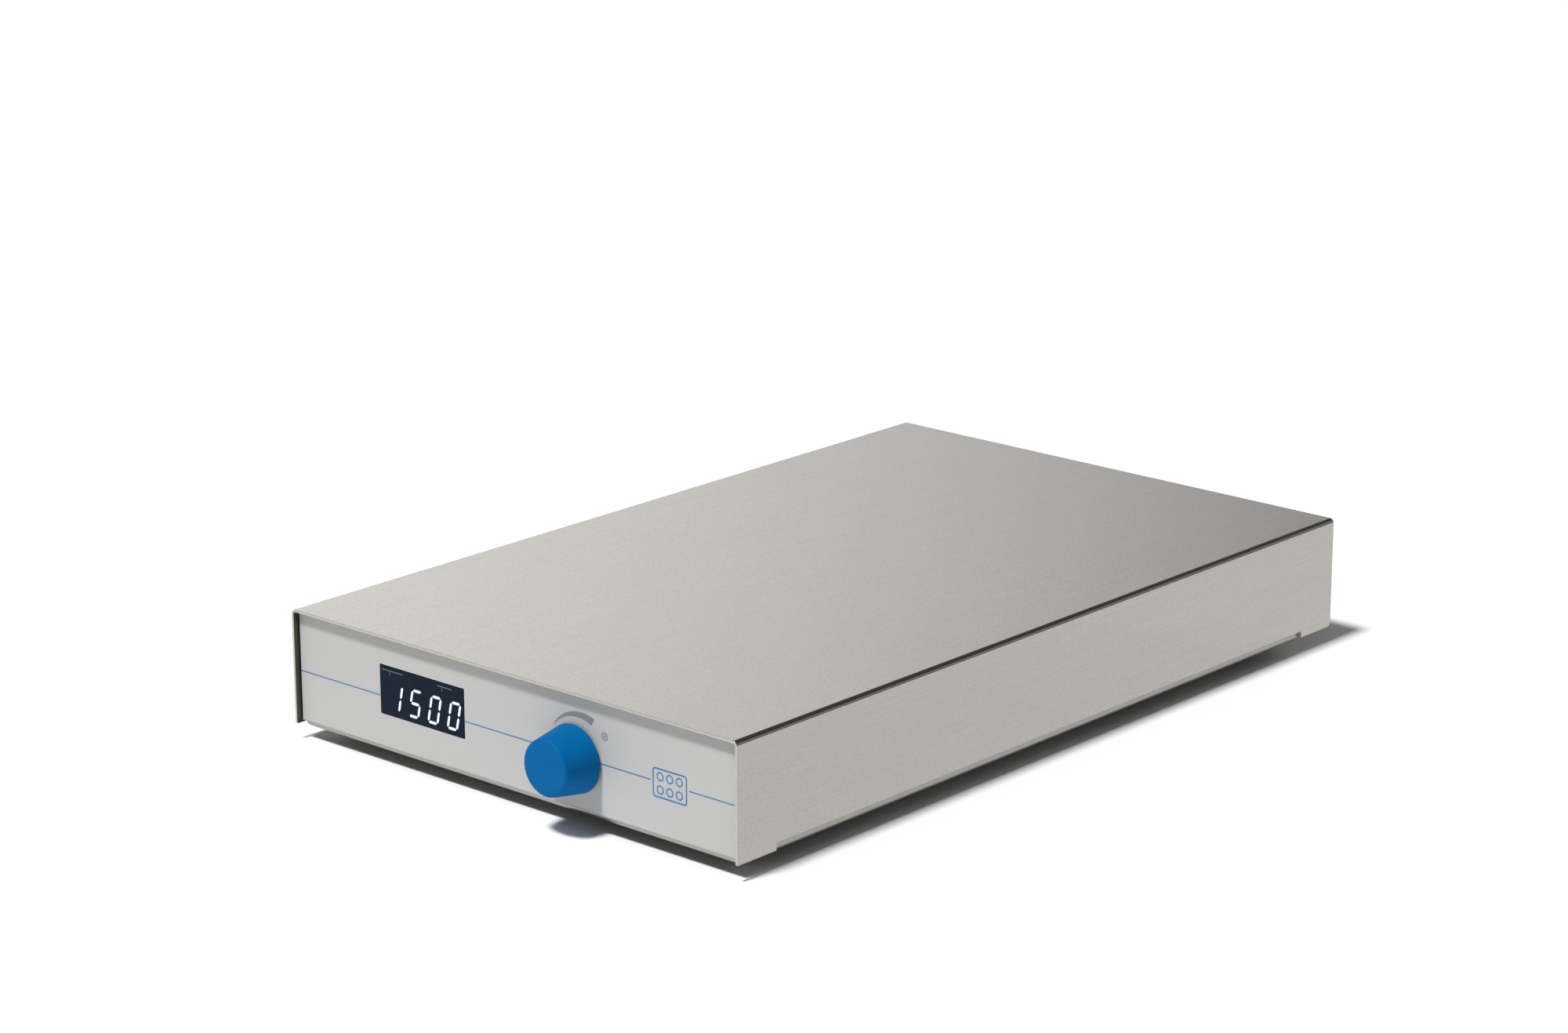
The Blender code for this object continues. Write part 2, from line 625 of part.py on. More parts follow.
def make_knob(at, shaft_front):
    """A plain tapered knob with a rounded front edge, hollow behind to clear the nut."""
    base = -PANEL_RECESS + 0.9
    hollow_front = base + 3.6
    bore = SHAFT_RADIUS + GAP
    lean = math.atan2(KNOB_BASE_RADIUS - KNOB_FACE_RADIUS, KNOB_PROUD - base)
    edge = arc(KNOB_FACE_RADIUS - KNOB_EDGE, KNOB_PROUD - KNOB_EDGE, KNOB_EDGE, math.degrees(lean), 90, 4)
    profile = [(bore, hollow_front), (7.6, hollow_front), (7.6, base), (KNOB_BASE_RADIUS - 0.4, base)]
    profile += [(KNOB_BASE_RADIUS, base + 0.4)] + edge
    profile += [(0, KNOB_PROUD), (0, shaft_front + GAP), (bore, shaft_front + GAP)]
    add("knob", facing(turned(profile, LARGE), FRONTWARD), "knob_blue", at)


# Power


def make_inlet():
    """Mains inlet: a bezel outside the rear wall, a body behind it and three pins in the socket."""
    at = (INLET_AT[0], TRAY_REAR, INLET_AT[1])
    bezel = rounded(-15.5, 15.5, -12, 12, 2)
    body = rounded(-13.7, 13.7, -10.2, 10.2, 1)
    bm = lofted([(body, -18.5), (body, GAP), (bezel, GAP), (bezel, 2.2)])
    inlet = add("power_inlet", facing(bm, REARWARD), "black_plastic", at)
    key = [(-12.2, 8.2), (-12.2, -4.2), (-8.2, -8.2), (8.2, -8.2), (12.2, -4.2), (12.2, 8.2)]
    shape(inlet, facing(lofted([(key, -14.5), (key, 10)]), REARWARD))
    contacts = []
    for x, z in ((-7, 2), (0, -2), (7, 2)):
        contacts.append(block(x - 1, x + 1, z - 2, z + 2, -15.5, 0.0))
        contacts.append(block(x - 0.4, x + 0.4, z - 2.4, z + 2.4, -26.0, -17.5))
    shape(inlet, facing(merged(contacts), REARWARD), "UNION")


def make_switch():
    """Power switch: a framed body in the rear wall and a rocker that tilts in it about a level axis."""
    x, z = SWITCH_AT
    at = (x, TRAY_REAR, z)
    bezel = rounded(-7.8, 7.8, -10.8, 10.8, 1)
    body = rounded(-6.5, 6.5, -9.5, 9.5, 0.6)
    bm = lofted([(body, -14), (body, GAP), (bezel, GAP), (bezel, 1.8)])
    frame = add("switch_body", facing(bm, REARWARD), "black_plastic", at)
    shape(frame, facing(block(-5.0, 5.0, -8.8, 8.8, -7.0, 5.0), REARWARD))
    face = [(-8.0, 2.4), (0.0, 0.7), (8.0, 2.4), (8.0, -1.2), (3.0, -4.5), (-3.0, -4.5), (-8.0, -1.2)]
    outline = [(proud, height) for height, proud in reversed(face)]
    bm = facing(lofted([(outline, -4.6), (outline, 4.6)]), ALONG_X)
    rocker = add("switch_rocker", bm, "black_plastic", at)
    rocker.rotation_euler.x = math.radians(ROCKER_TILT)


def make_power_board():
    left, right, front, rear = POWER_BOARD
    low = FLOOR + BOARD_LIFT
    high = low + BOARD_SHEET
    add("power_board", block(left, right, front, rear, low, high), "board")
    outline = rounded(-15, 15, -12, 12, 2)
    at = (8.0, (front + rear) / 2, 0)
    add("transformer", lofted([(outline, high + GAP), (outline, high + 17)]), "transformer", at)
    can = [(0, high + GAP), (7, high + GAP), (7, high + 15), (6.2, high + 16), (0, high + 16)]
    add("mains_capacitor", turned(can), "black_plastic", (-22.0, rear - 18.0, 0))


def main():
    clear_scene()
    make_cover()
    make_tray()
    make_front_overlay()
    make_window()
    make_feet()
    make_pillars_and_screws()
    make_rotors()
    make_motor()
    make_idlers()
    make_tensioner()
    make_belt()
    make_control_board()
    make_encoder()
    make_inlet()
    make_switch()
    make_power_board()


main()
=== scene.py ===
"""Looks for the six-position magnetic stirrer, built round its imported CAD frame.

Meshes are drawn in millimetres and MM turns them into metres. A piece that turns has its origin on its axis,
so its material's object coordinates are centred there. The frame gives the places of its nodes; the values
at the top repeat only what a bounding box can't say, such as sheet thickness and bend radii.
"""

import json
import math

import bmesh
import bpy
from mathutils import Matrix, Vector

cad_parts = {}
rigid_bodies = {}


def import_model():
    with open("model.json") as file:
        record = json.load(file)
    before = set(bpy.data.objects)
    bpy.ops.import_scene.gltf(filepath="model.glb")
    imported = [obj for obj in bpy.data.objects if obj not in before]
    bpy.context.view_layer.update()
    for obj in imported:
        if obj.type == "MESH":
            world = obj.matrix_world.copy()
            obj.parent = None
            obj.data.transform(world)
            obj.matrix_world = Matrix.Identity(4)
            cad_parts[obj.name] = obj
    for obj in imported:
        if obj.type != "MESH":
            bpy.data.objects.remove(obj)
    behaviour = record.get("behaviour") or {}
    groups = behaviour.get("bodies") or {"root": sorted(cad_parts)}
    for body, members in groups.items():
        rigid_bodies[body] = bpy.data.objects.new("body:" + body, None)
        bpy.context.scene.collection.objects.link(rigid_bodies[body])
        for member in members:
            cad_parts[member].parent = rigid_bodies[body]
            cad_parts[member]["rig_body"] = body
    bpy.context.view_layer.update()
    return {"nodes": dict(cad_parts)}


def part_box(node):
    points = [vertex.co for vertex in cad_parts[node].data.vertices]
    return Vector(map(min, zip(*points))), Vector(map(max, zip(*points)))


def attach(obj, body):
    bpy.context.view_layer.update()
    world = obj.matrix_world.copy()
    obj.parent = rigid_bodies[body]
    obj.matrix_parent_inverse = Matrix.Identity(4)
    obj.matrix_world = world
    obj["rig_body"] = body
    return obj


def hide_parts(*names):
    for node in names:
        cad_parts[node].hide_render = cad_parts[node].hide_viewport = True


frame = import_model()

MM = 0.001

# Housing
SHEET = 1.0
COVER_BEND = 2.0
TRAY_BEND = 2.0
TRAY_CORNER = 2.5
TAB_LENGTH = 20.5
CUTOUT_TOP = 8.9
CUTOUT_CORNER = 0.9
REAR_CORNER = 2.0
FRONT_CORNER = 0.6
SIDE_FLANGE = 15.0
CUT_EDGE = 0.14  # rounding of a cut sheet edge
PRINT = 0.04  # thickness of printed ink
WELD = 0.002  # cut meshes merge points closer than this

# Belt drive
BELT_RADIUS = 1.8
BELT_HEIGHT = 36.5
GROOVE_LIP = 1.5
ROTOR_PITCH = 22.0
MOTOR_PITCH = 9.0
ROLLER_PITCH = 7.0
SHOULDER = 32.9  # where a wheel rests on its post
JOURNAL_TOP = 40.6  # top of a roller's journal

# Controls
WINDOW_FLANGE = 3.0
KNOB_BASE_RADIUS = 13.1
KNOB_FACE_RADIUS = 10.9
KNOB_EDGE = 1.3
ROCKER_TILT = 9.0
LINE_HEIGHT = 27.2
LINE_WIDTH = 0.45

WIRE_RADIUS = 0.9  # of the mains wires

# Sides of a turned piece
ROUND = 96
MEDIUM = 48

FRONTWARD = Matrix.Rotation(math.radians(90), 4, "X")  # local +Z becomes -Y
REARWARD = Matrix.Rotation(math.radians(-90), 4, "X")  # local +Z becomes +Y
QUARTER_TURN = Matrix.Rotation(math.radians(90), 4, "Z")
ALONG_X = QUARTER_TURN @ FRONTWARD  # local +Z becomes +X


def span(node):
    """A CAD node's lowest and highest corner in millimetres."""
    low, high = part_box(node)
    return low / MM, high / MM


def centre(node):
    low, high = span(node)
    return (low + high) / 2


def foot_of(node):
    """The point under a CAD node's centre, at height 0."""
    at = centre(node)
    return Vector((at.x, at.y, 0))


def nodes_named(prefix):
    return sorted(n for n in frame["nodes"] if n.startswith(prefix))


# Meshes


def arc(cx, cy, radius, start, end, count):
    """Points on an arc, from start to end in degrees."""
    angles = [math.radians(start + (end - start) * i / count) for i in range(count + 1)]
    return [(cx + radius * math.cos(a), cy + radius * math.sin(a)) for a in angles]


def rounded(left, right, low, high, radius, count=6):
    """A rectangle's outline with round corners, anticlockwise."""
    corners = (
        (right - radius, low + radius, -90),
        (right - radius, high - radius, 0),
        (left + radius, high - radius, 90),
        (left + radius, low + radius, 180),
    )
    return [p for x, y, start in corners for p in arc(x, y, radius, start, start + 90, count)]


def centred(width, height, radius, count=6):
    """A round-cornered rectangle about the origin."""
    return rounded(-width / 2, width / 2, -height / 2, height / 2, radius, count)


def rectangle(left, right, low, high):
    return [(left, low), (right, low), (right, high), (left, high)]


def outward(bm):
    """Turns every face of a closed mesh outwards."""
    bmesh.ops.recalc_face_normals(bm, faces=bm.faces)
    if bm.calc_volume(signed=True) < 0:
        bmesh.ops.reverse_faces(bm, faces=bm.faces)
    return bm


def lofted(*sections):
    """A closed solid through sections, each an (outline, height) with the same number of points."""
    bm = bmesh.new()
    loops = [[bm.verts.new((x, y, z)) for x, y in outline] for outline, z in sections]
    for lower, upper in zip(loops, loops[1:]):
        for i in range(len(lower)):
            j = (i + 1) % len(lower)
            bm.faces.new((lower[i], lower[j], upper[j], upper[i]))
    bm.faces.new(loops[0])
    bm.faces.new(loops[-1])
    return outward(bm)


def plate(outline, low, high):
    return lofted((outline, low), (outline, high))


def block(left, right, front, rear, low, high):
    return plate(rectangle(left, right, front, rear), low, high)


def turned(profile, steps=ROUND):
    """A solid turned about Z. profile is a closed outline of (radius, height); radius 0 lies on the axis."""
    bm = bmesh.new()
    angles = [math.tau * i / steps for i in range(steps)]
    rings = []
    for radius, z in profile:
        if radius == 0:
            rings.append([bm.verts.new((0, 0, z))] * steps)
        else:
            rings.append([bm.verts.new((radius * math.cos(a), radius * math.sin(a), z)) for a in angles])
    for ring, following in zip(rings, rings[1:] + rings[:1]):
        if ring[0] is ring[1] and following[0] is following[1]:
            continue
        for i in range(steps):
            j = (i + 1) % steps
            corners = list(dict.fromkeys((ring[i], ring[j], following[j], following[i])))
            bm.faces.new(corners)
    return outward(bm)


def rod(radius, low, high, steps=MEDIUM):
    return turned([(0, low), (radius, low), (radius, high), (0, high)], steps)


def washer(outer, inner, thickness):
    return turned([(inner, 0), (outer, 0), (outer, thickness), (inner, thickness)], 40)


def moved(bm, x=0.0, y=0.0, z=0.0):
    bm.transform(Matrix.Translation((x, y, z)))
    return bm


def facing(bm, *directions):
    for direction in directions:
        bm.transform(direction)
    return bm


def merged(parts):
    """Several meshes as one."""
    whole = bmesh.new()
    for bm in parts:
        mesh = bpy.data.meshes.new("part")
        bm.to_mesh(mesh)
        bm.free()
        whole.from_mesh(mesh)
        bpy.data.meshes.remove(mesh)
    return whole


def swept(points, radius, sides=12, cyclic=False):
    """A round tube along points in millimetres."""
    curve = bpy.data.curves.new("sweep", "CURVE")
    curve.dimensions = "3D"
    curve.bevel_depth = radius
    curve.bevel_resolution = sides // 2 - 2
    curve.use_fill_caps = not cyclic
    spline = curve.splines.new("POLY")
    spline.points.add(len(points) - 1)
    for point, co in zip(spline.points, points):
        point.co = (*co, 1.0)
    spline.use_cyclic_u = cyclic
    holder = bpy.data.objects.new("sweep", curve)
    mesh = bpy.data.meshes.new_from_object(holder)
    bm = bmesh.new()
    bm.from_mesh(mesh)
    bpy.data.objects.remove(holder)
    bpy.data.curves.remove(curve)
    bpy.data.meshes.remove(mesh)
    return outward(bm)


def baked(obj):
    """Applies obj's modifiers to its mesh."""
    graph = bpy.context.evaluated_depsgraph_get()
    mesh = bpy.data.meshes.new_from_object(obj.evaluated_get(graph))
    obj.modifiers.clear()
    old = obj.data
    obj.data = mesh
    bpy.data.meshes.remove(old)


def shape(obj, *tools, operation="DIFFERENCE"):
    """Cuts each tool from obj, or joins it on with UNION. Tools are in millimetres about obj's origin.

    The solver works in millimetres too, because its tolerances suit shapes of that size.
    """
    obj.data.transform(Matrix.Scale(1 / MM, 4))
    for bm in tools:
        mesh = bpy.data.meshes.new("tool")
        bm.to_mesh(mesh)
        bm.free()
        tool = bpy.data.objects.new("tool", mesh)
        tool.location = obj.location
        bpy.context.scene.collection.objects.link(tool)
        modifier = obj.modifiers.new("Shape", "BOOLEAN")
        modifier.operation = operation
        modifier.solver = "EXACT"
        modifier.object = tool
        baked(obj)
        bpy.data.objects.remove(tool)
        bpy.data.meshes.remove(mesh)
    tidy = bmesh.new()
    tidy.from_mesh(obj.data)
    bmesh.ops.remove_doubles(tidy, verts=tidy.verts, dist=WELD)
    bmesh.ops.dissolve_degenerate(tidy, edges=tidy.edges, dist=WELD)
    tidy.transform(Matrix.Scale(MM, 4))
    tidy.to_mesh(obj.data)
    tidy.free()
    obj.data.shade_smooth()
    obj.data.set_sharp_from_angle(angle=math.radians(35))


def soften(obj, width, segments=2, angle=30):
    """Rounds obj's edges by width in millimetres and keeps its flat faces flat."""
    bevel = obj.modifiers.new("Soft edges", "BEVEL")
    bevel.width = width * MM
    bevel.segments = segments
    bevel.limit_method = "ANGLE"
    bevel.angle_limit = math.radians(angle)
    bevel.use_clamp_overlap = True
    normals = obj.modifiers.new("Normals", "WEIGHTED_NORMAL")
    normals.keep_sharp = True


def piece(name, bm, finish, at=(0, 0, 0), node=None, body=None, slot=None, sharp=35):
    """Makes bm, drawn in millimetres about the point at, into a piece with one or more of FINISHES.

    A piece that stands for a CAD node rides on the node's body, and any other on the case unless body says.
    The slot argument is not used.
    """
    finishes = [finish] if isinstance(finish, str) else finish
    bm.transform(Matrix.Scale(MM, 4))
    mesh = bpy.data.meshes.new(name)
    bm.to_mesh(mesh)
    bm.free()
    for key in finishes:
        mesh.materials.append(FINISHES[key][1])
    mesh.shade_smooth()
    mesh.set_sharp_from_angle(angle=math.radians(sharp))
    obj = bpy.data.objects.new(name, mesh)
    obj.location = Vector(at) * MM
    bpy.context.scene.collection.objects.link(obj)
    if node:
        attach(obj, frame["nodes"][node]["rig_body"])
        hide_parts(node)
    else:
        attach(obj, body or "case")
    slot or FINISHES[finishes[0]][0]
    return obj


def lathe(node, ending, profile, finish, steps=ROUND):
    """A turned piece that stands for an upright CAD node."""
    return piece(f"{node}_{ending}", turned(profile, steps), finish, foot_of(node), node)


# Materials


class Finish:
    """A procedural material round one Principled shader. Texture scales are in cycles per metre."""

    def __init__(self, name, colour, roughness, metallic=0.0, **sockets):
        self.material = bpy.data.materials.new(name)
        self.material.use_nodes = True
        self.nodes = self.material.node_tree.nodes
        self.links = self.material.node_tree.links
        self.shader = self.nodes["Principled BSDF"]
        self.colour = (*colour, 1.0)
        self.set("Base Color", self.colour)
        self.set("Roughness", roughness)
        self.set("Metallic", metallic)
        for socket, value in sockets.items():
            self.set(socket.replace("_", " ").title().replace("Ior", "IOR"), value)
        self.material.diffuse_color = self.colour
        self.place = self.node("TexCoord").outputs["Object"]
        self.normal = None

    def set(self, socket, value):
        self.shader.inputs[socket].default_value = value

    def node(self, kind, **values):
        made = self.nodes.new("ShaderNode" + kind)
        for key, value in values.items():
            setattr(made, key, value)
        return made

    def feed(self, node, **inputs):
        """Sets or links a node's inputs: by name with underscores for spaces, or by number after one."""
        for key, value in inputs.items():
            socket = node.inputs[int(key[1:])] if key[0] == "_" else node.inputs[key.replace("_", " ")]
            if isinstance(value, bpy.types.NodeSocket):
                self.links.new(value, socket)
            else:
                socket.default_value = value
        return node

    def noise(self, scale, stretch=(1, 1, 1), detail=3.0, about_axis=False):
        """Noise that is stretched along X, Y and Z, or that runs in rings about Z."""
        vector = self.place
        if about_axis:
            parts = self.feed(self.node("SeparateXYZ"), _0=vector)
            flat = self.feed(self.node("CombineXYZ"), X=parts.outputs["X"], Y=parts.outputs["Y"])
            radius = self.feed(self.node("VectorMath", operation="LENGTH"), _0=flat.outputs[0])
            ring = self.feed(self.node("CombineXYZ"), X=radius.outputs["Value"], Z=parts.outputs["Z"])
            vector = ring.outputs[0]
        mapping = self.feed(self.node("Mapping"), Vector=vector, Scale=stretch)
        texture = self.feed(self.node("TexNoise"), Vector=mapping.outputs[0], Scale=scale, Detail=detail)
        return texture.outputs[0]

    def ranged(self, value, low, high, start=0.3, end=0.7):
        """Maps value, from start to end, onto low to high."""
        mapped = self.node("MapRange")
        self.feed(mapped, Value=value, From_Min=start, From_Max=end, To_Min=low, To_Max=high)
        return mapped.outputs[0]

    def mixed(self, factor, first, second):
        mix = self.node("Mix", data_type="RGBA")
        return self.feed(mix, _0=factor, _6=first, _7=second).outputs[2]

    def tint(self, value, other, amount=1.0, start=0.35, end=0.65):
        """Blends the base colour towards other, a colour or a factor on the base, where value is high."""
        if isinstance(other, float):
            other = [other * channel for channel in self.colour[:3]]
        socket = self.shader.inputs["Base Color"]
        first = socket.links[0].from_socket if socket.links else self.colour
        factor = self.ranged(value, 0.0, amount, start, end)
        self.links.new(self.mixed(factor, first, (*other, 1.0)), socket)
        return self

    def gloss(self, value, low, high):
        """Varies the roughness between low and high."""
        self.links.new(self.ranged(value, low, high), self.shader.inputs["Roughness"])
        return self

    def bump(self, value, depth, strength=1.0):
        """Raises the surface by value times depth, in metres."""
        made = self.feed(self.node("Bump"), Height=value, Distance=depth, Strength=strength)
        if self.normal:
            self.links.new(self.normal, made.inputs["Normal"])
        self.normal = made.outputs[0]
        self.links.new(self.normal, self.shader.inputs["Normal"])
        return self

    def edge(self, radius):
        """1 close to an edge and 0 away from it, broken up a little."""
        soft = self.feed(self.node("Bevel", samples=4), Radius=radius)
        true = self.node("NewGeometry").outputs["Normal"]
        dot = self.feed(self.node("VectorMath", operation="DOT_PRODUCT"), _0=soft.outputs[0], _1=true)
        near = self.ranged(dot.outputs["Value"], 1.0, 0.0, 0.86, 0.995)
        broken = self.ranged(self.noise(900, detail=4), 0.2, 1.0, 0.35, 0.6)
        return self.feed(self.node("Math", operation="MULTIPLY"), _0=near, _1=broken).outputs[0]


def brushed_stainless():
    """Cold-rolled sheet with a very fine grain along its length: the UV map 'grain' runs that way."""
    f = Finish("stainless_brushed", (0.47, 0.446, 0.416), 0.18, 1.0, anisotropic=0.6)
    tangent = f.node("Tangent", direction_type="UV_MAP", uv_map="grain")
    f.links.new(tangent.outputs[0], f.shader.inputs["Tangent"])
    fine = f.noise(1.0, (7000, 160, 7000), 2.0)
    broad = f.noise(1.0, (1700, 26, 1700), 3.0)
    speckle = f.noise(1.0, (2200, 1100, 2200), 2.0)
    f.tint(fine, (0.41, 0.389, 0.362), 0.6)
    f.tint(broad, (0.52, 0.496, 0.463), 0.6)
    f.tint(speckle, (0.38, 0.362, 0.338), 0.7)
    f.tint(f.noise(7.0, detail=2.0), (0.437, 0.412, 0.38), 0.3)
    f.gloss(f.mixed(0.5, fine, speckle), 0.15, 0.21)
    f.bump(fine, 7e-7, 0.35).bump(speckle, 1.2e-6, 0.3)
    return f.material


def painted_shade_steel():
    """The cover's inside and the tray's underside: unbrushed and dull, and painted far darker than bare
    steel, as painted shade inside the cover and under the case.
    """
    f = Finish("steel_painted_shade", (0.13, 0.125, 0.11), 0.5, 1.0)
    mottle = f.noise(60, (1, 0.3, 1), 4.0)
    f.tint(mottle, (0.10, 0.095, 0.08), 0.6).gloss(mottle, 0.42, 0.58)
    return f.material


def cut_steel():
    """Laser-cut edge: pale, with fine striations across the sheet."""
    f = Finish("stainless_cut_edge", (0.62, 0.595, 0.53), 0.55, 0.6)
    grain = f.noise(1.0, (3500, 3500, 700), 3.0)
    f.tint(grain, (0.54, 0.515, 0.46), 0.5).gloss(grain, 0.48, 0.64).bump(grain, 6e-6, 0.4)
    return f.material


def satin_steel():
    """The tray's plain sheet: dull, with a faint rolling grain and small handling marks."""
    f = Finish("tray_satin_steel", (0.38, 0.366, 0.346), 0.36, 1.0)
    rolled = f.noise(1.0, (60, 2400, 2400), 3.0)
    f.tint(rolled, (0.335, 0.322, 0.304), 0.4)
    f.tint(f.noise(24, detail=3.0), (0.357, 0.344, 0.325), 0.3)
    f.tint(f.edge(3e-4), (0.46, 0.448, 0.43), 0.5, 0.1, 0.9)
    f.gloss(f.noise(140, detail=5.0), 0.34, 0.40).bump(rolled, 2e-6, 0.4)
    return f.material


def film():
    f = Finish("overlay_film_matt", (0.545, 0.543, 0.537), 0.5, specular_ior_level=0.3)
    grit = f.noise(2400, detail=3.0)
    f.tint(f.noise(22, detail=2.0), (0.515, 0.511, 0.503), 0.4)
    f.tint(grit, (0.47, 0.468, 0.464), 0.5)
    f.gloss(grit, 0.44, 0.56).bump(grit, 4e-6, 0.5)
    return f.material


def ink(name, colour):
    f = Finish(name, colour, 0.5)
    grain = f.noise(5200, detail=3.0)
    f.tint(grain, [0.8 * c + 0.08 for c in colour], 0.45).gloss(grain, 0.4, 0.6)
    return f.material


def tinted_window():
    f = Finish("window_tinted", (0.002, 0.009, 0.022), 0.2, specular_ior_level=0.08)
    haze = f.noise(420, detail=5.0)
    f.tint(haze, (0.003, 0.011, 0.027), 0.6).gloss(haze, 0.14, 0.26)
    return f.material


def lit(name, colour, strength):
    """A lit segment, whose glow is a little uneven, as its diffuser is."""
    f = Finish(name, (0.55, 0.6, 0.68), 0.4, emission_strength=strength)
    glow = f.ranged(f.noise(900, detail=2.0), 0, 1)
    dim = [0.8 * c for c in colour]
    f.links.new(f.mixed(glow, (*colour, 1), (*dim, 1)), f.shader.inputs["Emission Color"])
    return f.material


def moulded(name, colour, roughness, grain=3800, depth=6e-6, edge_tone=None, about_axis=False, **sockets):
    """Moulded plastic or rubber with a spark-eroded surface and softly lightened edges."""
    f = Finish(name, colour, roughness, **sockets)
    texture = f.noise(grain, detail=2.0)
    f.tint(f.noise(60, (1, 1, 3), 3.0), 0.82, 0.5)
    # Lighter towards every edge, by a bevel mask.
    f.tint(f.edge(4e-4), edge_tone or [1.25 * c + 0.01 for c in colour], 0.4, 0.1, 0.9)
    f.gloss(texture, roughness - 0.08, roughness + 0.08).bump(texture, depth, 0.6)
    if about_axis:
        f.bump(f.noise(1.0, (900, 900, 900), 2.0, True), 3e-6, 0.4)
    return f.material


def machined(name, colour, roughness, lines=2600, stain=0.85):
    """Metal turned about its own axis: fine rings, with a slight stain."""
    f = Finish(name, colour, roughness, 1.0)
    rings = f.noise(1.0, (lines, lines, lines), 3.0, True)
    f.tint(rings, 0.8, 0.5).tint(f.noise(70, detail=4.0), stain, 0.45)
    f.tint(f.edge(3e-4), 1.2, 0.5, 0.1, 0.9)
    f.gloss(rings, roughness - 0.08, roughness + 0.1).bump(rings, 4e-6, 0.6)
    return f.material


def plated(name, level, blue=None):
    """Zinc-plated or drawn steel: lines along Z, and a faint yellow and blue passivation."""
    f = Finish(name, (level, level, blue or level), 0.36, 1.0)
    drawn = f.noise(1.0, (900, 900, 40), 3.0)
    f.tint(drawn, 0.84, 0.5)
    f.tint(f.noise(45, detail=3.0), (0.60, 0.57, 0.46), 0.3)
    f.tint(f.noise(38, (1, 1.3, 1), 3.0), (0.48, 0.52, 0.58), 0.25, 0.5, 0.75)
    f.gloss(drawn, 0.28, 0.46).bump(drawn, 5e-6, 0.4)
    return f.material


def circuit_board():
    """Solder mask over copper: tracks as stepped cells, and tinned pads on a grid."""
    f = Finish("solder_mask", (0.006, 0.085, 0.035), 0.32, coat_weight=0.3)
    cells = f.node("TexVoronoi", feature="F1", distance="MANHATTAN")
    f.feed(cells, Vector=f.place, Scale=330.0)
    tracks = f.ranged(cells.outputs["Distance"], 1.0, 0.0, 0.42, 0.5)
    f.tint(tracks, (0.012, 0.15, 0.062), 0.8, 0.2, 0.8)
    pads = f.node("TexVoronoi", feature="F1")
    f.feed(pads, Vector=f.place, Scale=210.0, Randomness=0.35)
    dots = f.ranged(pads.outputs["Distance"], 1.0, 0.0, 0.16, 0.2)
    f.tint(dots, (0.62, 0.60, 0.52), 0.9, 0.2, 0.8)
    f.gloss(f.noise(1500, detail=2.0), 0.26, 0.42).bump(tracks, 2.5e-5, 0.6)
    return f.material


# Each finish has the slot that it usually fills, and its material
FINISHES = {
    "stainless": ("stainless", brushed_stainless()),
    "cut_edge": ("stainless", cut_steel()),
    # Dark steel as painted shade, for the cover's inside and the tray's underside
    "painted_shade": ("stainless", painted_shade_steel()),
    "tray": ("tray_steel", satin_steel()),
    "film": ("overlay_film", film()),
    "window": ("window_tint", tinted_window()),
    "blue_ink": ("overlay_film", ink("print_blue", (0.02, 0.18, 0.40))),
    "grey_ink": ("overlay_film", ink("print_grey", (0.22, 0.216, 0.212))),
    # Grey ink for the film's lower edge: partly its cut edge, partly painted shadow of the gap beneath it
    "edge_ink": ("overlay_film", ink("film_edge_shade", (0.36, 0.36, 0.355))),
    "white_ink": ("black_plastic", ink("print_white", (0.62, 0.63, 0.65))),
    "dim_ink": ("window_tint", ink("print_dim", (0.17, 0.19, 0.22))),
    "lit": ("window_tint", lit("segment_lit", (0.80, 0.90, 1.0), 0.95)),
    "halo": ("window_tint", lit("segment_halo", (0.10, 0.15, 0.30), 0.3)),
    "knob": ("knob_blue", moulded("knob_blue_matt", (0.0002, 0.13, 0.365), 0.5, 2600, 9e-6,
                                  (0.001, 0.155, 0.41), specular_ior_level=0.05)),
    "rubber": ("rubber", moulded("rubber_foot", (0.02, 0.02, 0.02), 0.72, 1800, 1.6e-5,
                                 (0.05, 0.05, 0.048))),
    "zinc": ("zinc_steel", plated("zinc_plated", 0.55, 0.53)),
    "turned_steel": ("zinc_steel", machined("steel_turned", (0.58, 0.58, 0.57), 0.28)),
    "black": ("black_plastic", moulded("plastic_black", (0.018, 0.018, 0.02), 0.42)),
    "nylon": ("rotor_plastic", moulded("plastic_natural", (0.74, 0.73, 0.68), 0.48, 2200, 8e-6,
                                       (0.85, 0.84, 0.8), True)),
    "white": ("board", moulded("plastic_white", (0.72, 0.71, 0.67), 0.45)),
    "ferrite": ("magnet", machined("ferrite_ground", (0.10, 0.10, 0.108), 0.42, 1800, (0.07, 0.065, 0.06))),
    "belt": ("belt", moulded("belt_polyurethane", (0.50, 0.15, 0.04), 0.52, 1500, 1.2e-5,
                             (0.56, 0.2, 0.07))),
    "brass": ("brass", machined("brass_turned", (0.72, 0.50, 0.20), 0.24, 2600, (0.52, 0.36, 0.15))),
    "can": ("motor_can", plated("can_drawn", 0.50)),
    "board": ("board", circuit_board()),
    "tape": ("transformer", moulded("tape_yellow", (0.60, 0.45, 0.05), 0.34, 900, 1.0e-5,
                                    (0.66, 0.52, 0.1))),
    "tin": ("zinc_steel", plated("tinned_leads", 0.66, 0.64)),
    "sleeve": ("black_plastic", moulded("capacitor_sleeve", (0.012, 0.022, 0.06), 0.36)),
    "green": ("board", moulded("plastic_green", (0.02, 0.22, 0.07), 0.42)),
    "brown_wire": ("black_plastic", moulded("wire_brown", (0.13, 0.045, 0.015), 0.45)),
    "blue_wire": ("black_plastic", moulded("wire_blue", (0.02, 0.09, 0.36), 0.45)),
    "yellow_wire": ("black_plastic", moulded("wire_green_yellow", (0.36, 0.42, 0.03), 0.45)),
}


# Housing


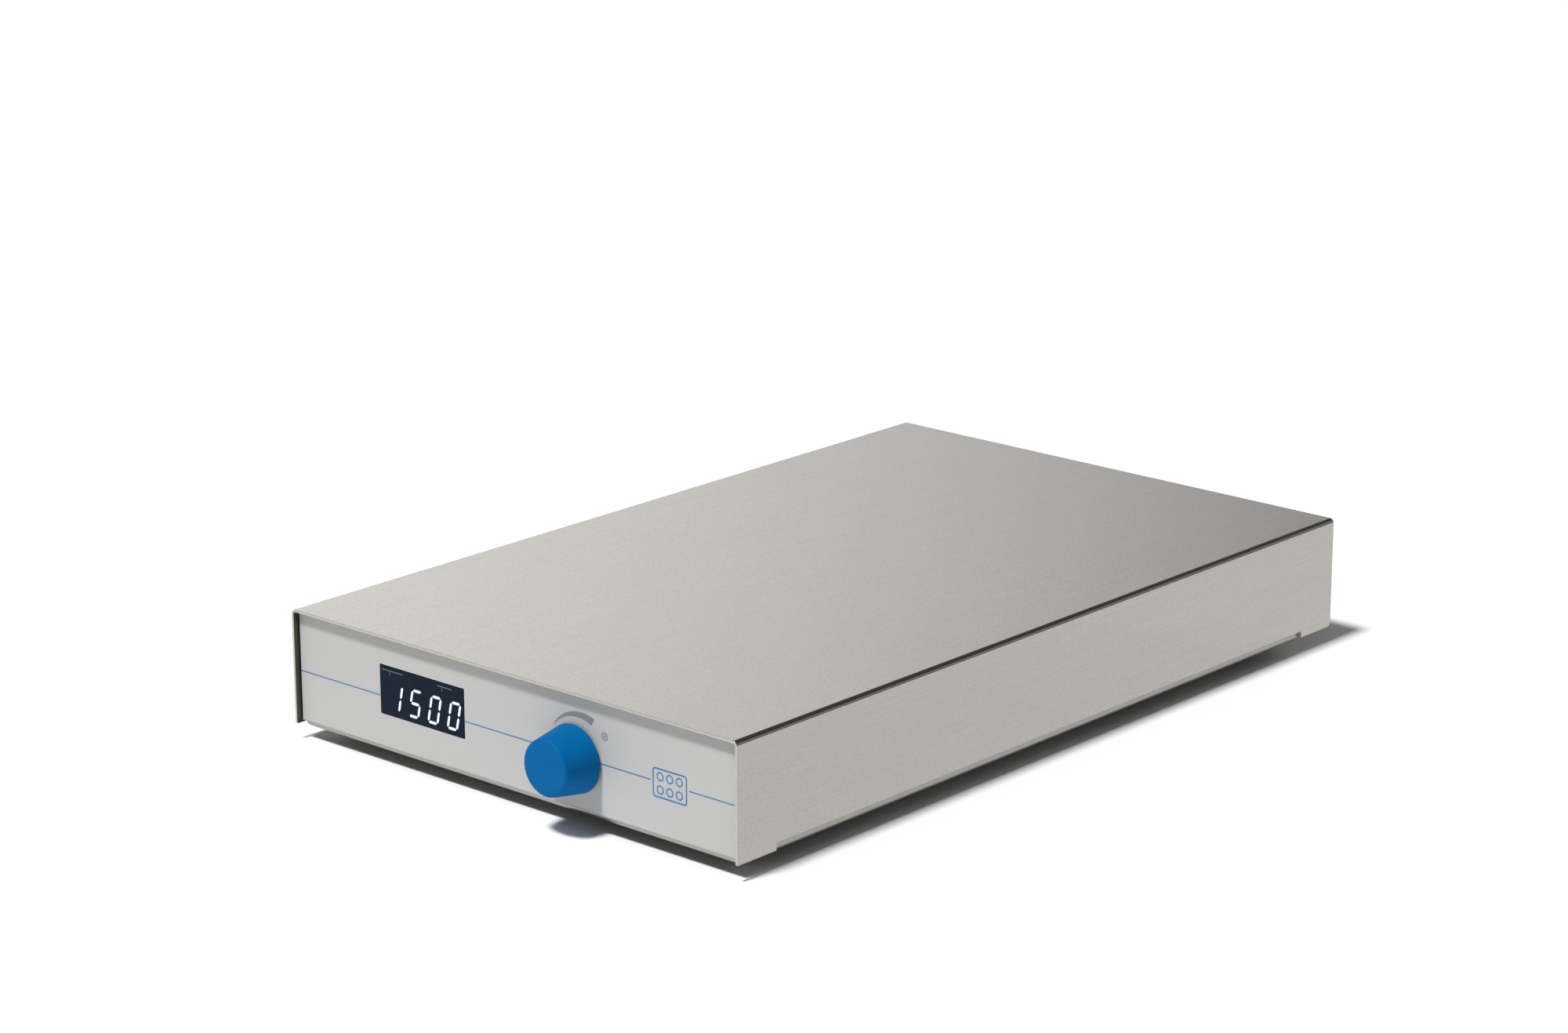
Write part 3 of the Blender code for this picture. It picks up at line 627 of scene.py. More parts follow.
def cover_outline(half, top, foot):
    """Cross-section of the folded cover, from the right foot over the top and back along the inside."""
    bend_x = half - COVER_BEND
    bend_z = top - COVER_BEND
    right = [(half, foot)] + arc(bend_x, bend_z, COVER_BEND, 0, 90, 14)
    inner = arc(bend_x, bend_z, COVER_BEND - SHEET, 90, 0, 10) + [(half - SHEET, foot)]
    return right + [(-x, z) for x, z in reversed(right)] + [(-x, z) for x, z in reversed(inner)] + inner


def paint_cover(obj):
    """Gives the cut edges and the inside their materials, and unfolds the sheet in a UV map.

    U runs along the grain.
    """
    mesh = obj.data
    top = max(vertex.co.z for vertex in mesh.vertices)
    grain = mesh.uv_layers.new(name="grain")
    for loop in mesh.loops:
        x, y, z = mesh.vertices[loop.vertex_index].co
        grain.data[loop.index].uv = (y, x + math.copysign(top - z, x))
    for face in mesh.polygons:
        across = abs(face.normal.y) > 0.7
        under = face.normal.z < -0.7 and face.center.z < 2 * CUTOUT_TOP * MM
        inward = face.normal.x * face.center.x < 0 or face.normal.z < -0.7
        # Inward faces take the dark steel that is painted shade.
        face.material_index = 1 if across or under else 2 * int(inward)


def make_cover():
    low, high = span("cover")
    bm = facing(plate(cover_outline(high.x, high.z, low.z), -high.y, -low.y), FRONTWARD)
    cover = piece("steel_cover", bm, ("stainless", "cut_edge", "painted_shade"), node="cover")
    notch = rounded(low.y + TAB_LENGTH, high.y - TAB_LENGTH, 0.0, CUTOUT_TOP, CUTOUT_CORNER, 5)
    r = REAR_CORNER
    rear = [(high.y + 5, 0), (high.y + 5, low.z + r)] + arc(high.y - r, low.z + r, r, 0, -90, 8)
    rear.append((high.y - r, 0))
    r = FRONT_CORNER
    front = [(low.y - 5, 0), (low.y + r, 0)] + arc(low.y + r, low.z + r, r, 270, 180, 4)
    front.append((low.y - 5, low.z + r))
    for cutter in (notch, rear, front):
        shape(cover, facing(plate(cutter, low.x - 5, high.x + 5), ALONG_X))
    paint_cover(cover)
    soften(cover, CUT_EDGE, 2, 40)


def tray_body(low, high, shrink, floor, top, radius):
    """The tray's box with a rounded underside, made smaller all round by shrink."""
    sections = []
    for inset, rise in arc(radius, radius, radius, 270, 180, 10):
        s = shrink + inset
        outline = rounded(low.x + s, high.x - s, low.y + s, high.y - s, TRAY_CORNER - inset, 6)
        sections.append((outline, floor + rise))
    return lofted(*sections, (sections[-1][0], top))


def slot_cutter(length, width, low, high):
    return plate(centred(length, width, width / 2 - 0.01, 8), low, high)


def tray_holes(low, high):
    """Cutters for the window, encoder, feet, screws, spindles, inlet, switch and vents."""
    pane = span("display_window")
    window = rectangle(pane[0].x + WINDOW_FLANGE, pane[1].x - WINDOW_FLANGE,
                       pane[0].z + WINDOW_FLANGE, pane[1].z - WINDOW_FLANGE)
    holes = [facing(plate(window, -low.y - 5, -low.y + 5), FRONTWARD)]
    knob = centre("knob")
    holes.append(moved(facing(rod(4.8, -5, 5), FRONTWARD), knob.x, low.y, knob.z))
    for prefix, radius in (("foot_", 2.8), ("cover_screw_", 2.4), ("spindle_", 3.0)):
        for node in nodes_named(prefix):
            holes.append(moved(rod(radius, 0, 8), *foot_of(node)))
    for node, half_x, half_z in (("power_inlet", 14.0, 10.5), ("switch_body", 6.8, 9.8)):
        at = centre(node)
        holes.append(moved(block(-half_x, half_x, -5, 5, -half_z, half_z), at.x, high.y, at.z))
    for i in range(6):
        slot = facing(slot_cutter(22, 3.0, -5, 5), QUARTER_TURN, REARWARD)
        holes.append(moved(slot, 24 + 9.0 * i, high.y, 28.0))
    for i in range(5):
        for side in (-1, 1):
            holes.append(moved(slot_cutter(28, 3.5, 0, 8), side * 22.0, -60 + 8.0 * i))
    return merged(holes)


def make_tray():
    low, high = span("base_tray")
    floor = low.z + SHEET
    tray = piece("steel_tray", tray_body(low, high, 0.0, low.z, high.z, TRAY_BEND), ("tray", "painted_shade"),
                 node="base_tray")
    shape(tray, tray_body(low, high, SHEET, floor, high.z + 10, TRAY_BEND - SHEET))
    shape(tray, block(-150, 150, low.y + 4, high.y - 4, low.z + SIDE_FLANGE, high.z + 5))
    board_low, board_high = span("power_board")
    studs = [
        moved(rod(3.0, floor - 0.5, board_low.z - 0.3), x, y)
        for x in (board_low.x + 5, board_high.x - 5)
        for y in (board_low.y + 5, board_high.y - 5)
    ]
    shape(tray, merged(studs), operation="UNION")
    shape(tray, tray_holes(low, high))
    # The underside takes the dark steel that is painted shade, which darkens the shadow under the case.
    for face in tray.data.polygons:
        face.material_index = int(face.normal.z < -0.99 and face.center.z < (low.z + 0.1) * MM)
    soften(tray, 0.12, 2, 40)


def make_feet():
    """Push-in feet: a grooved skirt that is hollow underneath, and a barb on top."""
    top = span("foot_1")[1].z
    flange = 4.7
    profile = [(0, 1.2), (3.2, 1.2), (3.6, 0.8), (3.6, 0.25), (4.0, 0), (6.1, 0)]
    profile += arc(6.3, 0.7, 0.7, -90, -20, 5) + [(7.2, 1.6), (7.0, 1.9), (7.4, 2.2), (7.75, flange - 0.6)]
    profile += arc(7.4, flange - 0.4, 0.4, 0, 90, 4)
    profile += [(2.4, flange), (2.4, 6.3), (3.6, 6.3), (3.0, 8.1), (2.0, top), (0, top)]
    for node in nodes_named("foot_"):
        lathe(node, "rubber", profile, "rubber")


def cross_recess(depth, top):
    """Cutters for a cross-head drive that opens downwards at height top."""
    for half_x, half_y in ((2.1, 0.42), (0.42, 2.1)):
        arm = [(-half_x, -half_y), (half_x, -half_y), (half_x, half_y), (-half_x, half_y)]
        tip = [(0.45 * x, 0.7 * y) for x, y in arm]
        yield lofted((arm, top - 1), (arm, top), (tip, top + depth))


def make_screws():
    low, high = span("cover_screw_1")
    head = low.z + 2.2
    profile = [(0, low.z)] + arc(2.2, low.z + 1.5, 1.5, -90, 0, 8) + [(3.7, head), (2.0, head)]
    for i in range(12):
        z = head + 2.5 + 0.7 * i
        profile += [(1.66, z), (2.0, z + 0.35)]
    profile += [(1.6, high.z - 0.6), (1.2, high.z), (0, high.z)]
    for node in nodes_named("cover_screw_"):
        screw = lathe(node, "steel", profile, "zinc", MEDIUM)
        for arm in cross_recess(1.3, low.z):
            shape(screw, arm)


def make_pillars():
    low, high = span("pillar_1")
    chamfer = [(3.5, low.z - 1), (6, low.z - 1), (6, low.z + 1.2), (4.1, low.z + 0.2)]
    for node in nodes_named("pillar_"):
        pillar = piece(f"{node}_steel", rod(4.04, low.z, high.z, 6), "zinc", foot_of(node), node)
        shape(pillar, rod(2.3, 0, 18))
        shape(pillar, turned(chamfer, MEDIUM))
        soften(pillar, 0.15)


# Front panel


def printed(name, outline, finish):
    """A flat mark on the front film. outline is in panel coordinates: x, and height."""
    face = span("front_overlay")[0].y
    piece(name, facing(plate(outline, -face, -face + PRINT), FRONTWARD), finish)


def wedge_mark():
    """The speed mark: an arc over the knob that widens clockwise."""
    knob = centre("knob")
    steps = 40
    outer, inner = [], []
    for i in range(steps + 1):
        share = i / steps
        angle = math.radians(136 - 76 * share)
        middle = 14.9 + 2.9 * share
        half = 0.12 + 1.45 * share
        for ring, radius in ((outer, middle + half), (inner, middle - half)):
            ring.append((knob.x + radius * math.cos(angle), knob.z + radius * math.sin(angle)))
    return outer + inner[::-1]


def press_mark():
    """A generic press symbol beside the wedge: a ring round a dot."""
    knob = centre("knob")
    angle = math.radians(38)
    x, z = knob.x + 18.6 * math.cos(angle), knob.z + 18.6 * math.sin(angle)
    marks = merged([washer(1.5, 1.1, PRINT), rod(0.55, 0, PRINT, 32)])
    piece("press_mark", facing(marks, FRONTWARD), "grey_ink", (x, span("front_overlay")[0].y, z))


def positions_mark():
    """A generic pictogram of the plate: a frame with its six positions."""
    here = (79.7, span("front_overlay")[0].y, 26.8)
    width, height, stroke = 16.6, 11.2, 0.6
    border = piece("positions_frame_mark", facing(plate(centred(width, height, 1.3), 0, PRINT), FRONTWARD),
                   "blue_ink", here)
    hole = centred(width - 2 * stroke, height - 2 * stroke, 0.8)
    shape(border, facing(plate(hole, -1, 1), FRONTWARD))
    places = [(4.6 * column, 2.5 * row) for row in (-1, 1) for column in (-1, 0, 1)]
    rings = [moved(washer(1.75, 1.2, PRINT), x, z) for x, z in places]
    piece("positions_mark", facing(merged(rings), FRONTWARD), "blue_ink", here)


def make_panel_marks():
    low, high = span("front_overlay")
    window = span("display_window")
    knob = span("knob")
    runs = {
        "left": (low.x, window[0].x + WINDOW_FLANGE - 0.1),
        "middle": (window[1].x - WINDOW_FLANGE + 0.1, knob[0].x + 2.0),
        "right": (knob[1].x - 2.0, 70.4),
        "end": (89.0, high.x - 2.0),
    }
    for name, (start, end) in runs.items():
        outline = rectangle(start, end, LINE_HEIGHT - LINE_WIDTH / 2, LINE_HEIGHT + LINE_WIDTH / 2)
        printed(f"panel_line_{name}", outline, "blue_ink")
    # A grey line along the film's lower edge: partly the film's cut edge, partly painted shadow of the gap
    # beneath it
    printed("overlay_edge_shade_line", rectangle(low.x + 0.2, high.x - 0.2, low.z + 0.05, low.z + 0.3), "edge_ink")
    printed("speed_mark", wedge_mark(), "grey_ink")
    press_mark()
    positions_mark()


# Seven segments, each from one corner of the digit to the next: (column, row) with rows 0 to 2 upwards
SEGMENTS = {
    "top": ((0, 2), (1, 2)),
    "upper_right": ((1, 2), (1, 1)),
    "lower_right": ((1, 1), (1, 0)),
    "bottom": ((0, 0), (1, 0)),
    "lower_left": ((0, 1), (0, 0)),
    "upper_left": ((0, 2), (0, 1)),
    "middle": ((0, 1), (1, 1)),
}
DIGITS = {
    "1": ("upper_right", "lower_right"),
    "5": ("top", "upper_left", "middle", "lower_right", "bottom"),
    "0": ("top", "upper_right", "lower_right", "bottom", "lower_left", "upper_left"),
}
DIGIT_WIDTH = 4.8  # between the middles of the upright segments
DIGIT_HEIGHT = 10.3
DIGIT_PITCH = 10.3
DIGIT_SLANT = math.tan(math.radians(12))
STROKE = 0.62
STROKE_GAP = 0.32  # from a segment's tip to the corner that it points at
FIRST_DIGIT = (-63.4, 22.7)  # lower left corner of the first digit, in panel coordinates
SHOWN = "1500"


def segment(start, end, stroke):
    """A bar with pointed ends between two corners, a little shorter than their distance."""
    a, b = Vector(start), Vector(end)
    along = (b - a).normalized()
    side = Vector((-along.y, along.x)) * stroke / 2
    a, b = a + along * STROKE_GAP, b - along * STROKE_GAP
    tip = along * stroke / 2
    return [a, a + tip + side, b - tip + side, b, b - tip - side, a + tip - side]


def make_digits():
    """The lit digits: a bright core in front of a wider, dim halo."""
    face = span("display_window")[0].y
    layers = (("halo", "halo", 1.9 * STROKE, PRINT / 2), ("core", "lit", STROKE, PRINT))
    for name, finish, stroke, proud in layers:
        bars = []
        for i, digit in enumerate(SHOWN):
            for part in DIGITS[digit]:
                corners = [(c * DIGIT_WIDTH, r * DIGIT_HEIGHT / 2) for c, r in SEGMENTS[part]]
                outline = [
                    (FIRST_DIGIT[0] + i * DIGIT_PITCH + x + z * DIGIT_SLANT, FIRST_DIGIT[1] + z)
                    for x, z in segment(*corners, stroke)
                ]
                bars.append(plate(outline, -face, -face + proud))
        piece(f"display_digits_{name}", facing(merged(bars), FRONTWARD), finish)


def make_window_ticks():
    """Two short index ticks and their unlabelled bars along the window's top edge."""
    low, high = span("display_window")
    top = high.z - WINDOW_FLANGE
    left = low.x + WINDOW_FLANGE
    bars = []
    for start, end in ((left + 1.2, left + 12.5), (left + 31.0, left + 38.5)):
        bars.append(rectangle(start, end, top - 2.0, top - 1.75))
        middle = (start + end) / 2 - 1.5
        bars.append(rectangle(middle, middle + 0.25, top - 3.6, top - 2.5))
    marks = merged([plate(outline, -low.y, -low.y + PRINT / 2) for outline in bars])
    piece("window_ticks", facing(marks, FRONTWARD), "dim_ink")


def make_knob():
    """A plain tapered knob with a soft face edge, hollow behind round the hub for its shaft."""
    low, high = span("knob")
    at = centre("knob")
    length = high.y - low.y
    lean = math.degrees(math.atan2(KNOB_BASE_RADIUS - KNOB_FACE_RADIUS, length))
    foot = arc(KNOB_BASE_RADIUS - 0.35, 0.35, 0.35, -90, lean, 5)
    edge = arc(KNOB_FACE_RADIUS - KNOB_EDGE, length - KNOB_EDGE, KNOB_EDGE, lean, 90, 12)
    face = [(7.0, length), (3.5, length - 0.03), (0, length - 0.05)]
    profile = [(3.3, 3.6), (7.3, 3.6), (7.6, 3.3), (7.6, 0.3), (7.9, 0)] + foot + edge + face
    profile += [(0, length - 2.7), (3.3, length - 2.7)]
    bm = facing(turned(profile, 128), FRONTWARD)
    piece("knob_blue", bm, "knob", (at.x, high.y, at.z), "knob", sharp=50)


def make_encoder():
    """Encoder parts behind the knob: a case with a threaded bushing, its nut, shaft and detent rotor."""
    low, high = span("encoder_body")
    axis = centre("encoder_nut")
    x, z = axis.x, axis.z
    front, rear = low.y, high.y
    shoulder = span("base_tray")[0].y + SHEET + 0.3
    bm = block(low.x - x, high.x - x, shoulder - rear, 0, low.z - z, high.z - z)
    case = piece("encoder_case", bm, "can", (x, rear, z), "encoder_body", slot="zinc_steel")
    thread = [(0, 2.5)]
    for i in range(9):
        y = rear - front - 6.0 + 0.62 * i
        thread += [(4.15, y), (4.5, y + 0.31)]
    thread += [(4.1, rear - front), (0, rear - front)]
    shape(case, facing(turned(thread, MEDIUM), FRONTWARD), operation="UNION")
    bore = [(0, 1.3), (5.2, 1.3), (5.2, 4.4), (3.3, 4.4), (3.3, 20), (0, 20)]
    shape(case, facing(turned(bore, MEDIUM), FRONTWARD))
    low, high = span("encoder_nut")
    hexagon = facing(rod(6.4, 0, high.y - low.y, 6), FRONTWARD)
    nut = piece("encoder_nut_steel", hexagon, "zinc", (x, high.y, z), "encoder_nut")
    shape(nut, facing(rod(4.8, -1, 5), FRONTWARD))
    soften(nut, 0.2)
    low, high = span("encoder_shaft")
    length = high.y - low.y
    profile = [(0, 0), (2.7, 0), (3.0, 0.3), (3.0, length - 0.5), (2.5, length), (0, length)]
    shaft = piece("encoder_shaft_steel", facing(turned(profile, MEDIUM), FRONTWARD), "turned_steel",
                  (x, high.y, z), "encoder_shaft")
    shape(shaft, facing(block(-4, 4, 1.5, 4, length - 7, length + 1), FRONTWARD))
    low, high = span("encoder_rotor")
    depth = high.y - low.y
    profile = [(3.3, 0), (4.7, 0), (4.9, 0.2), (4.9, depth - 0.2), (4.7, depth), (3.3, depth)]
    piece("encoder_rotor_brass", facing(turned(profile, MEDIUM), FRONTWARD), "brass", (x, high.y, z),
          "encoder_rotor")


# Belt drive


def wheel_profile(node, pitch, bore, hub=None):
    """Rim with a round-bottomed belt groove at BELT_HEIGHT, chamfered edges and a plain bore."""
    low, high = (corner.z for corner in span(node))
    rim = pitch + GROOVE_LIP
    hub = hub or rim
    mid = BELT_HEIGHT
    profile = [(bore, low + 0.3), (bore + 0.3, low), (rim - 0.2, low), (rim, low + 0.2), (rim, mid - 2.9)]
    profile += [(rim - 0.2, mid - 2.75)] + arc(pitch, mid, 2.05, 230, 130, 12)
    profile += [(rim - 0.2, mid + 2.75), (rim, mid + 2.9)]
    if hub != rim:
        profile += [(rim - 0.3, mid + 3.2), (hub, mid + 3.2)]
    return profile + [(hub, high - 0.2), (hub - 0.2, high), (bore + 0.3, high), (bore, high - 0.3)]


def make_rotors():
    """Magnet carriers on spindles: pockets between ribs below, and a bar magnet let into each top."""
    bore, cap, pocket = 3.3, 41.3, 42.2
    for node in nodes_named("rotor_"):
        low, high = span(node)
        index = node.rsplit("_")[-1]
        profile = wheel_profile(node, ROTOR_PITCH, bore)
        profile[-2:] = [(0, high.z), (0, cap), (bore, cap)]
        rotor = lathe(node, "moulding", profile, "nylon")
        sectors = []
        for i in range(8):
            sector = arc(0, 0, 18.2, 4, 41, 8) + arc(0, 0, 7.0, 41, 4, 5)
            turn = Matrix.Rotation(math.radians(45 * i), 4, "Z")
            sectors.append(facing(plate(sector, low.z - 1, low.z + 5), turn))
        shape(rotor, plate(centred(38.6, 10.6, 1.5), pocket, high.z + 5), merged(sectors))
        soften(rotor, 0.2)
        low, high = span(f"magnet_{index}")
        magnet = piece(f"magnet_{index}_bar", plate(centred(38, 10, 1.2), low.z, high.z), "ferrite",
                       foot_of(node), f"magnet_{index}")
        soften(magnet, 0.35)
        top = span(f"spindle_{index}")[1].z
        profile = [(0, 5), (2.2, 5), (2.7, 5.3), (2.7, 6.3), (8.7, 6.3), (9, 6.6), (9, 7.7), (8.7, 8)]
        profile += [(5, 9), (5, SHOULDER - 0.5), (4.5, SHOULDER), (3, SHOULDER), (3, top - 0.5)]
        profile += [(2.5, top), (0, top)]
        lathe(f"spindle_{index}", "steel", profile, "turned_steel")


def make_motor():
    """Can with a crimp, vents and a bearing boss, its shaft and pulley, and a folded bracket with screws."""
    low, high = span("motor_body")
    here = foot_of("motor_body")
    shoulder = 29.0
    profile = [(0, low.z), (16.2, low.z)] + arc(16.3, low.z + 1.2, 1.2, -90, 0, 6)
    profile += [(17.5, 11.0), (17.1, 11.3), (17.1, 11.9), (17.5, 12.2)]
    profile += arc(16.3, shoulder - 1.2, 1.2, 0, 90, 6) + [(6.3, shoulder), (6.0, shoulder + 0.3)]
    profile += [(6.0, high.z - 0.4), (5.6, high.z), (2.8, high.z), (2.8, 12.7), (0, 12.7)]
    can = piece("motor_can", turned(profile), "can", here, "motor_body")
    turns = [Matrix.Rotation(math.radians(45 + 90 * i), 4, "Z") for i in range(4)]
    shape(can, merged([facing(block(12, 20, -2.2, 2.2, 14.5, 16.5), turn) for turn in turns]))
    low, high = span("motor_shaft")
    profile = [(0, low.z), (2.5, low.z), (2.5, high.z - 0.4), (2.1, high.z), (0, high.z)]
    lathe("motor_shaft", "steel", profile, "turned_steel", MEDIUM)
    pulley = lathe("motor_pulley", "brass", wheel_profile("motor_pulley", MOTOR_PITCH, 2.8, 6.0), "brass")
    shape(pulley, moved(facing(rod(0.9, 4.2, 8.0, 24), ALONG_X), z=40.7))
    low, high = span("motor_bracket")
    top, foot = high.z, low.z + 1.6
    under = top - 1.6
    half = 30.0
    right = [(high.x, low.z), (high.x, foot)] + arc(half + 1, foot + 1, 1, 270, 180, 4)
    right += arc(half - 2, top - 2, 2, 0, 90, 6)
    left = [(-x, z) for x, z in reversed(right)]
    inner = [(-half + 1.6, low.z)] + arc(-half + 2, under - 0.4, 0.4, 180, 90, 3)
    inner += arc(half - 2, under - 0.4, 0.4, 90, 0, 3) + [(half - 1.6, low.z)]
    folded = facing(plate(right + left + inner, -13, 13), FRONTWARD)
    bracket = piece("motor_bracket_steel", folded, "zinc", here, "motor_bracket")
    shape(bracket, rod(6.3, under - 2, top + 2))
    soften(bracket, 0.15, 2, 40)
    heads = []
    for side in (-1, 1):
        head = [(0, top), (2.6, top), (2.6, top + 0.8), (2.0, top + 1.5), (0, top + 1.5)]
        heads.append(moved(turned(head, 32), side * 11.5))
        for y in (-8, 8):
            head = [(0, foot), (2.9, foot), (2.9, foot + 0.9), (2.2, foot + 1.8), (0, foot + 1.8)]
            heads.append(moved(turned(head, 32), side * 36.5, y))
    piece("motor_screws", merged(heads), "zinc", here)


def post_profile(column, journal, shoulder, top):
    low = 6.3
    profile = [(0, low), (6.2, low), (6.5, low + 0.3), (6.5, low + 1.3), (6.2, low + 1.6)]
    profile += [(column + 0.5, low + 2.4), (column, low + 2.9), (column, shoulder - 0.3)]
    profile.append((column - 0.3, shoulder))
    return profile + [(journal, shoulder), (journal, top - 0.4), (journal - 0.4, top), (0, top)]


def make_rollers():
    for side in ("left", "right"):
        lathe(f"idler_post_{side}", "steel", post_profile(3.5, 2.0, SHOULDER, JOURNAL_TOP), "turned_steel")
        roller = f"idler_roller_{side}"
        lathe(roller, "moulding", wheel_profile(roller, ROLLER_PITCH, 2.3), "black")
    lathe("tensioner_roller", "moulding", wheel_profile("tensioner_roller", ROLLER_PITCH, 2.3), "black")


def make_tensioner():
    here = foot_of("tensioner_post")
    reach = foot_of("tensioner_roller") - here
    angle = math.atan2(reach.y, reach.x)
    length = reach.length
    low = span("tensioner_arm")[0].z
    high = low + 2.5
    lathe("tensioner_post", "steel", post_profile(3.5, 2.5, low - 0.3, high + 2.0), "turned_steel")
    turn = Matrix.Rotation(angle, 4, "Z")
    outline = arc(0, 0, 6.0, 90, 270, 24) + arc(length, 0, 5.0, -90, 90, 24)
    bm = facing(plate(outline, low, high), turn)
    arm = piece("tensioner_arm_steel", bm, "zinc", here, "tensioner_arm")
    axle = [(0, low + 1), (3.6, low + 1), (3.6, SHOULDER - 0.3), (3.3, SHOULDER), (2, SHOULDER)]
    axle += [(2, JOURNAL_TOP - 0.4), (1.6, JOURNAL_TOP), (0, JOURNAL_TOP)]
    shape(arm, facing(moved(turned(axle), length), turn), operation="UNION")
    shape(arm, rod(2.8, low - 5, high + 5))
    shape(arm, facing(moved(slot_cutter(10, 3, low - 1, high + 1), length / 2), turn))
    soften(arm, 0.15)
    make_spring(here, angle, low - 0.3)


def make_spring(here, angle, top):
    """Torsion spring round the tensioner's post: close turns and one straight leg."""
    wire, coil, turns, per_turn = 0.6, 5.2, 4, 40
    pitch = 2 * wire + 0.35
    points = []
    for i in range(turns * per_turn + 1):
        left = turns - i / per_turn
        a = angle + math.radians(90) - math.tau * left
        points.append(Vector((coil * math.cos(a), coil * math.sin(a), top - wire - pitch * left)))
    along = Vector((math.cos(angle), math.sin(angle), 0))
    points += [points[-1] - along * distance for distance in (2.0, 6.0, 10.0)]
    piece("tensioner_spring_wire", swept(points, wire), "turned_steel", here, "tensioner_spring")


def belt_route():
    """The belt's centre line: tangent runs and arcs round the wheels, anticlockwise from above.

    A wheel inside the loop has sense 1, and one that presses on its outside has sense -1.
    """
    stops = [("rotor_1", 1), ("idler_roller_left", -1), ("motor_pulley", 1), ("idler_roller_right", -1)]
    stops += [("rotor_4", 1), ("rotor_5", -1), ("rotor_6", 1), ("tensioner_roller", -1), ("rotor_3", 1)]
    stops.append(("rotor_2", -1))
    radii = {"rotor": ROTOR_PITCH, "motor": MOTOR_PITCH, "idler": ROLLER_PITCH, "tensioner": ROLLER_PITCH}
    wheels = [(centre(node), radii[node.split("_")[0]], sense) for node, sense in stops]
    headings = []
    for (here, r0, s0), (there, r1, s1) in zip(wheels, wheels[1:] + wheels[:1]):
        dx, dy = there.x - here.x, there.y - here.y
        lean = math.asin((s0 * r0 - s1 * r1) / math.hypot(dx, dy))
        headings.append(math.atan2(dy, dx) + lean)
    points = []
    for i, (middle, radius, sense) in enumerate(wheels):
        start, end = headings[i - 1], headings[i]
        sweep = (end - start) * sense % math.tau
        count = max(3, math.ceil(sweep / math.radians(5)))
        for k in range(count + 1):
            a = start + sense * sweep * k / count - sense * math.pi / 2
            points.append((middle.x + radius * math.cos(a), middle.y + radius * math.sin(a), BELT_HEIGHT))
    return points


def make_belt():
    piece("drive_belt_round", swept(belt_route(), BELT_RADIUS, 16, True), "belt", node="drive_belt")


# Power entry


def inlet_key(grow=0.0):
    """The mains socket's outline, grown outwards. REARWARD turns its chamfered corners to the top."""
    half, top, low, cut = 12.2 + grow, 8.2 + grow, -8.2 - grow, 4.0 + grow / 2
    left = [(-half, top), (-half, low + cut), (-half + cut, low)]
    return left + [(-x, z) for x, z in reversed(left)]


def framed(name, node, shell, depth, bezel, lip, taper):
    """A snap-in housing in the rear wall: a shell behind it, and a bezel that narrows to a lip."""
    wall = span("base_tray")[1].y
    at = centre(node)
    here = (at.x, wall, at.z)
    proud = span(node)[1].y - wall
    bm = lofted((shell, -depth), (shell, 0.3), (bezel, 0.3), (bezel, proud - taper), (lip, proud))
    return piece(name, facing(bm, REARWARD), "black", here, node), here, proud


def make_inlet():
    """Mains inlet: bezel, grooved shell, socket with a lead-in, and three metal contacts."""
    inlet, here, proud = framed("power_inlet_housing", "power_inlet", centred(27.4, 20.4, 1), 18.5,
                                centred(31, 24, 2), centred(29.8, 22.8, 1.6), 0.6)
    key, wide = inlet_key(), inlet_key(0.7)
    socket = lofted((key, -14.5), (key, proud - 1.0), (wide, proud), (wide, 5))
    grooves = [moved(block(-3, 3, -0.4, 0.4, -12, -1), x, z) for x in (-10, 10) for z in (-10.4, 10.4)]
    shape(inlet, facing(socket, REARWARD), facing(merged(grooves), REARWARD))
    soften(inlet, 0.15, 2, 40)
    contacts = []
    for x, z in ((-7, 2), (0, -2), (7, 2)):
        tip = rectangle(x - 0.6, x + 0.6, z - 1.6, z + 1.6)
        blade = rectangle(x - 1, x + 1, z - 2, z + 2)
        contacts.append(lofted((blade, -15.5), (blade, -1.0), (tip, 0.0)))
        contacts.append(block(x - 0.4, x + 0.4, z - 2.4, z + 2.4, -26.0, -17.5))
    pins = piece("power_inlet_contacts", facing(merged(contacts), REARWARD), "tin", here)
    soften(pins, 0.12)


def make_switch():
    """Power switch: framed body, and a dished rocker that carries its two marks."""
    body, here, _ = framed("switch_frame", "switch_body", centred(13, 19, 0.6), 14, centred(15.6, 21.6, 1),
                           centred(14.4, 20.4, 0.8), 0.5)
    shape(body, facing(plate(centred(10, 17.6, 0.4), -7.0, 5.0), REARWARD))
    soften(body, 0.15, 2, 40)
    make_rocker(here)


def make_rocker(here):
    half, end, middle, rise = 4.6, 8.0, 0.7, 1.7
    steps = 16
    face = [(-end + 2 * end * i / steps, middle + rise * (2 * i / steps - 1) ** 2) for i in range(steps + 1)]
    back = [(end, -1.2), (3.0, -4.5), (-3.0, -4.5), (-end, -1.2)]
    outline = [(proud, height) for height, proud in reversed(face + back)]
    tilt = Matrix.Rotation(math.radians(ROCKER_TILT), 4, "X")
    rocker = piece("power_rocker_cap", facing(plate(outline, -half, half), ALONG_X, tilt), "black", here,
                   "switch_rocker", sharp=25)
    soften(rocker, 0.35, 3, 50)
    height = 4.6  # of the marks, above and below the rocker's axis
    proud = middle + rise * (height / end) ** 2 + 2 * PRINT
    slope = Matrix.Rotation(-math.atan(2 * rise * height / end**2), 4, "X")
    bar = facing(block(-0.35, 0.35, -1.5, 1.5, 0, PRINT), REARWARD, slope)
    ring = facing(washer(1.6, 0.95, PRINT), REARWARD, slope.inverted())
    marks = merged([moved(bar, 0, proud, height), moved(ring, 0, proud, -height)])
    piece("power_rocker_marks", facing(marks, tilt), "white_ink", here, body="rocker")


# Boards


# Chips on the front board: the middle's x and z, length, width and the number of leads on each side
CHIPS = ((-10, 28, 10, 10, 10), (-34, 22, 8, 5, 7), (12, 20, 6, 4, 4), (-52, 34, 9, 5, 8))
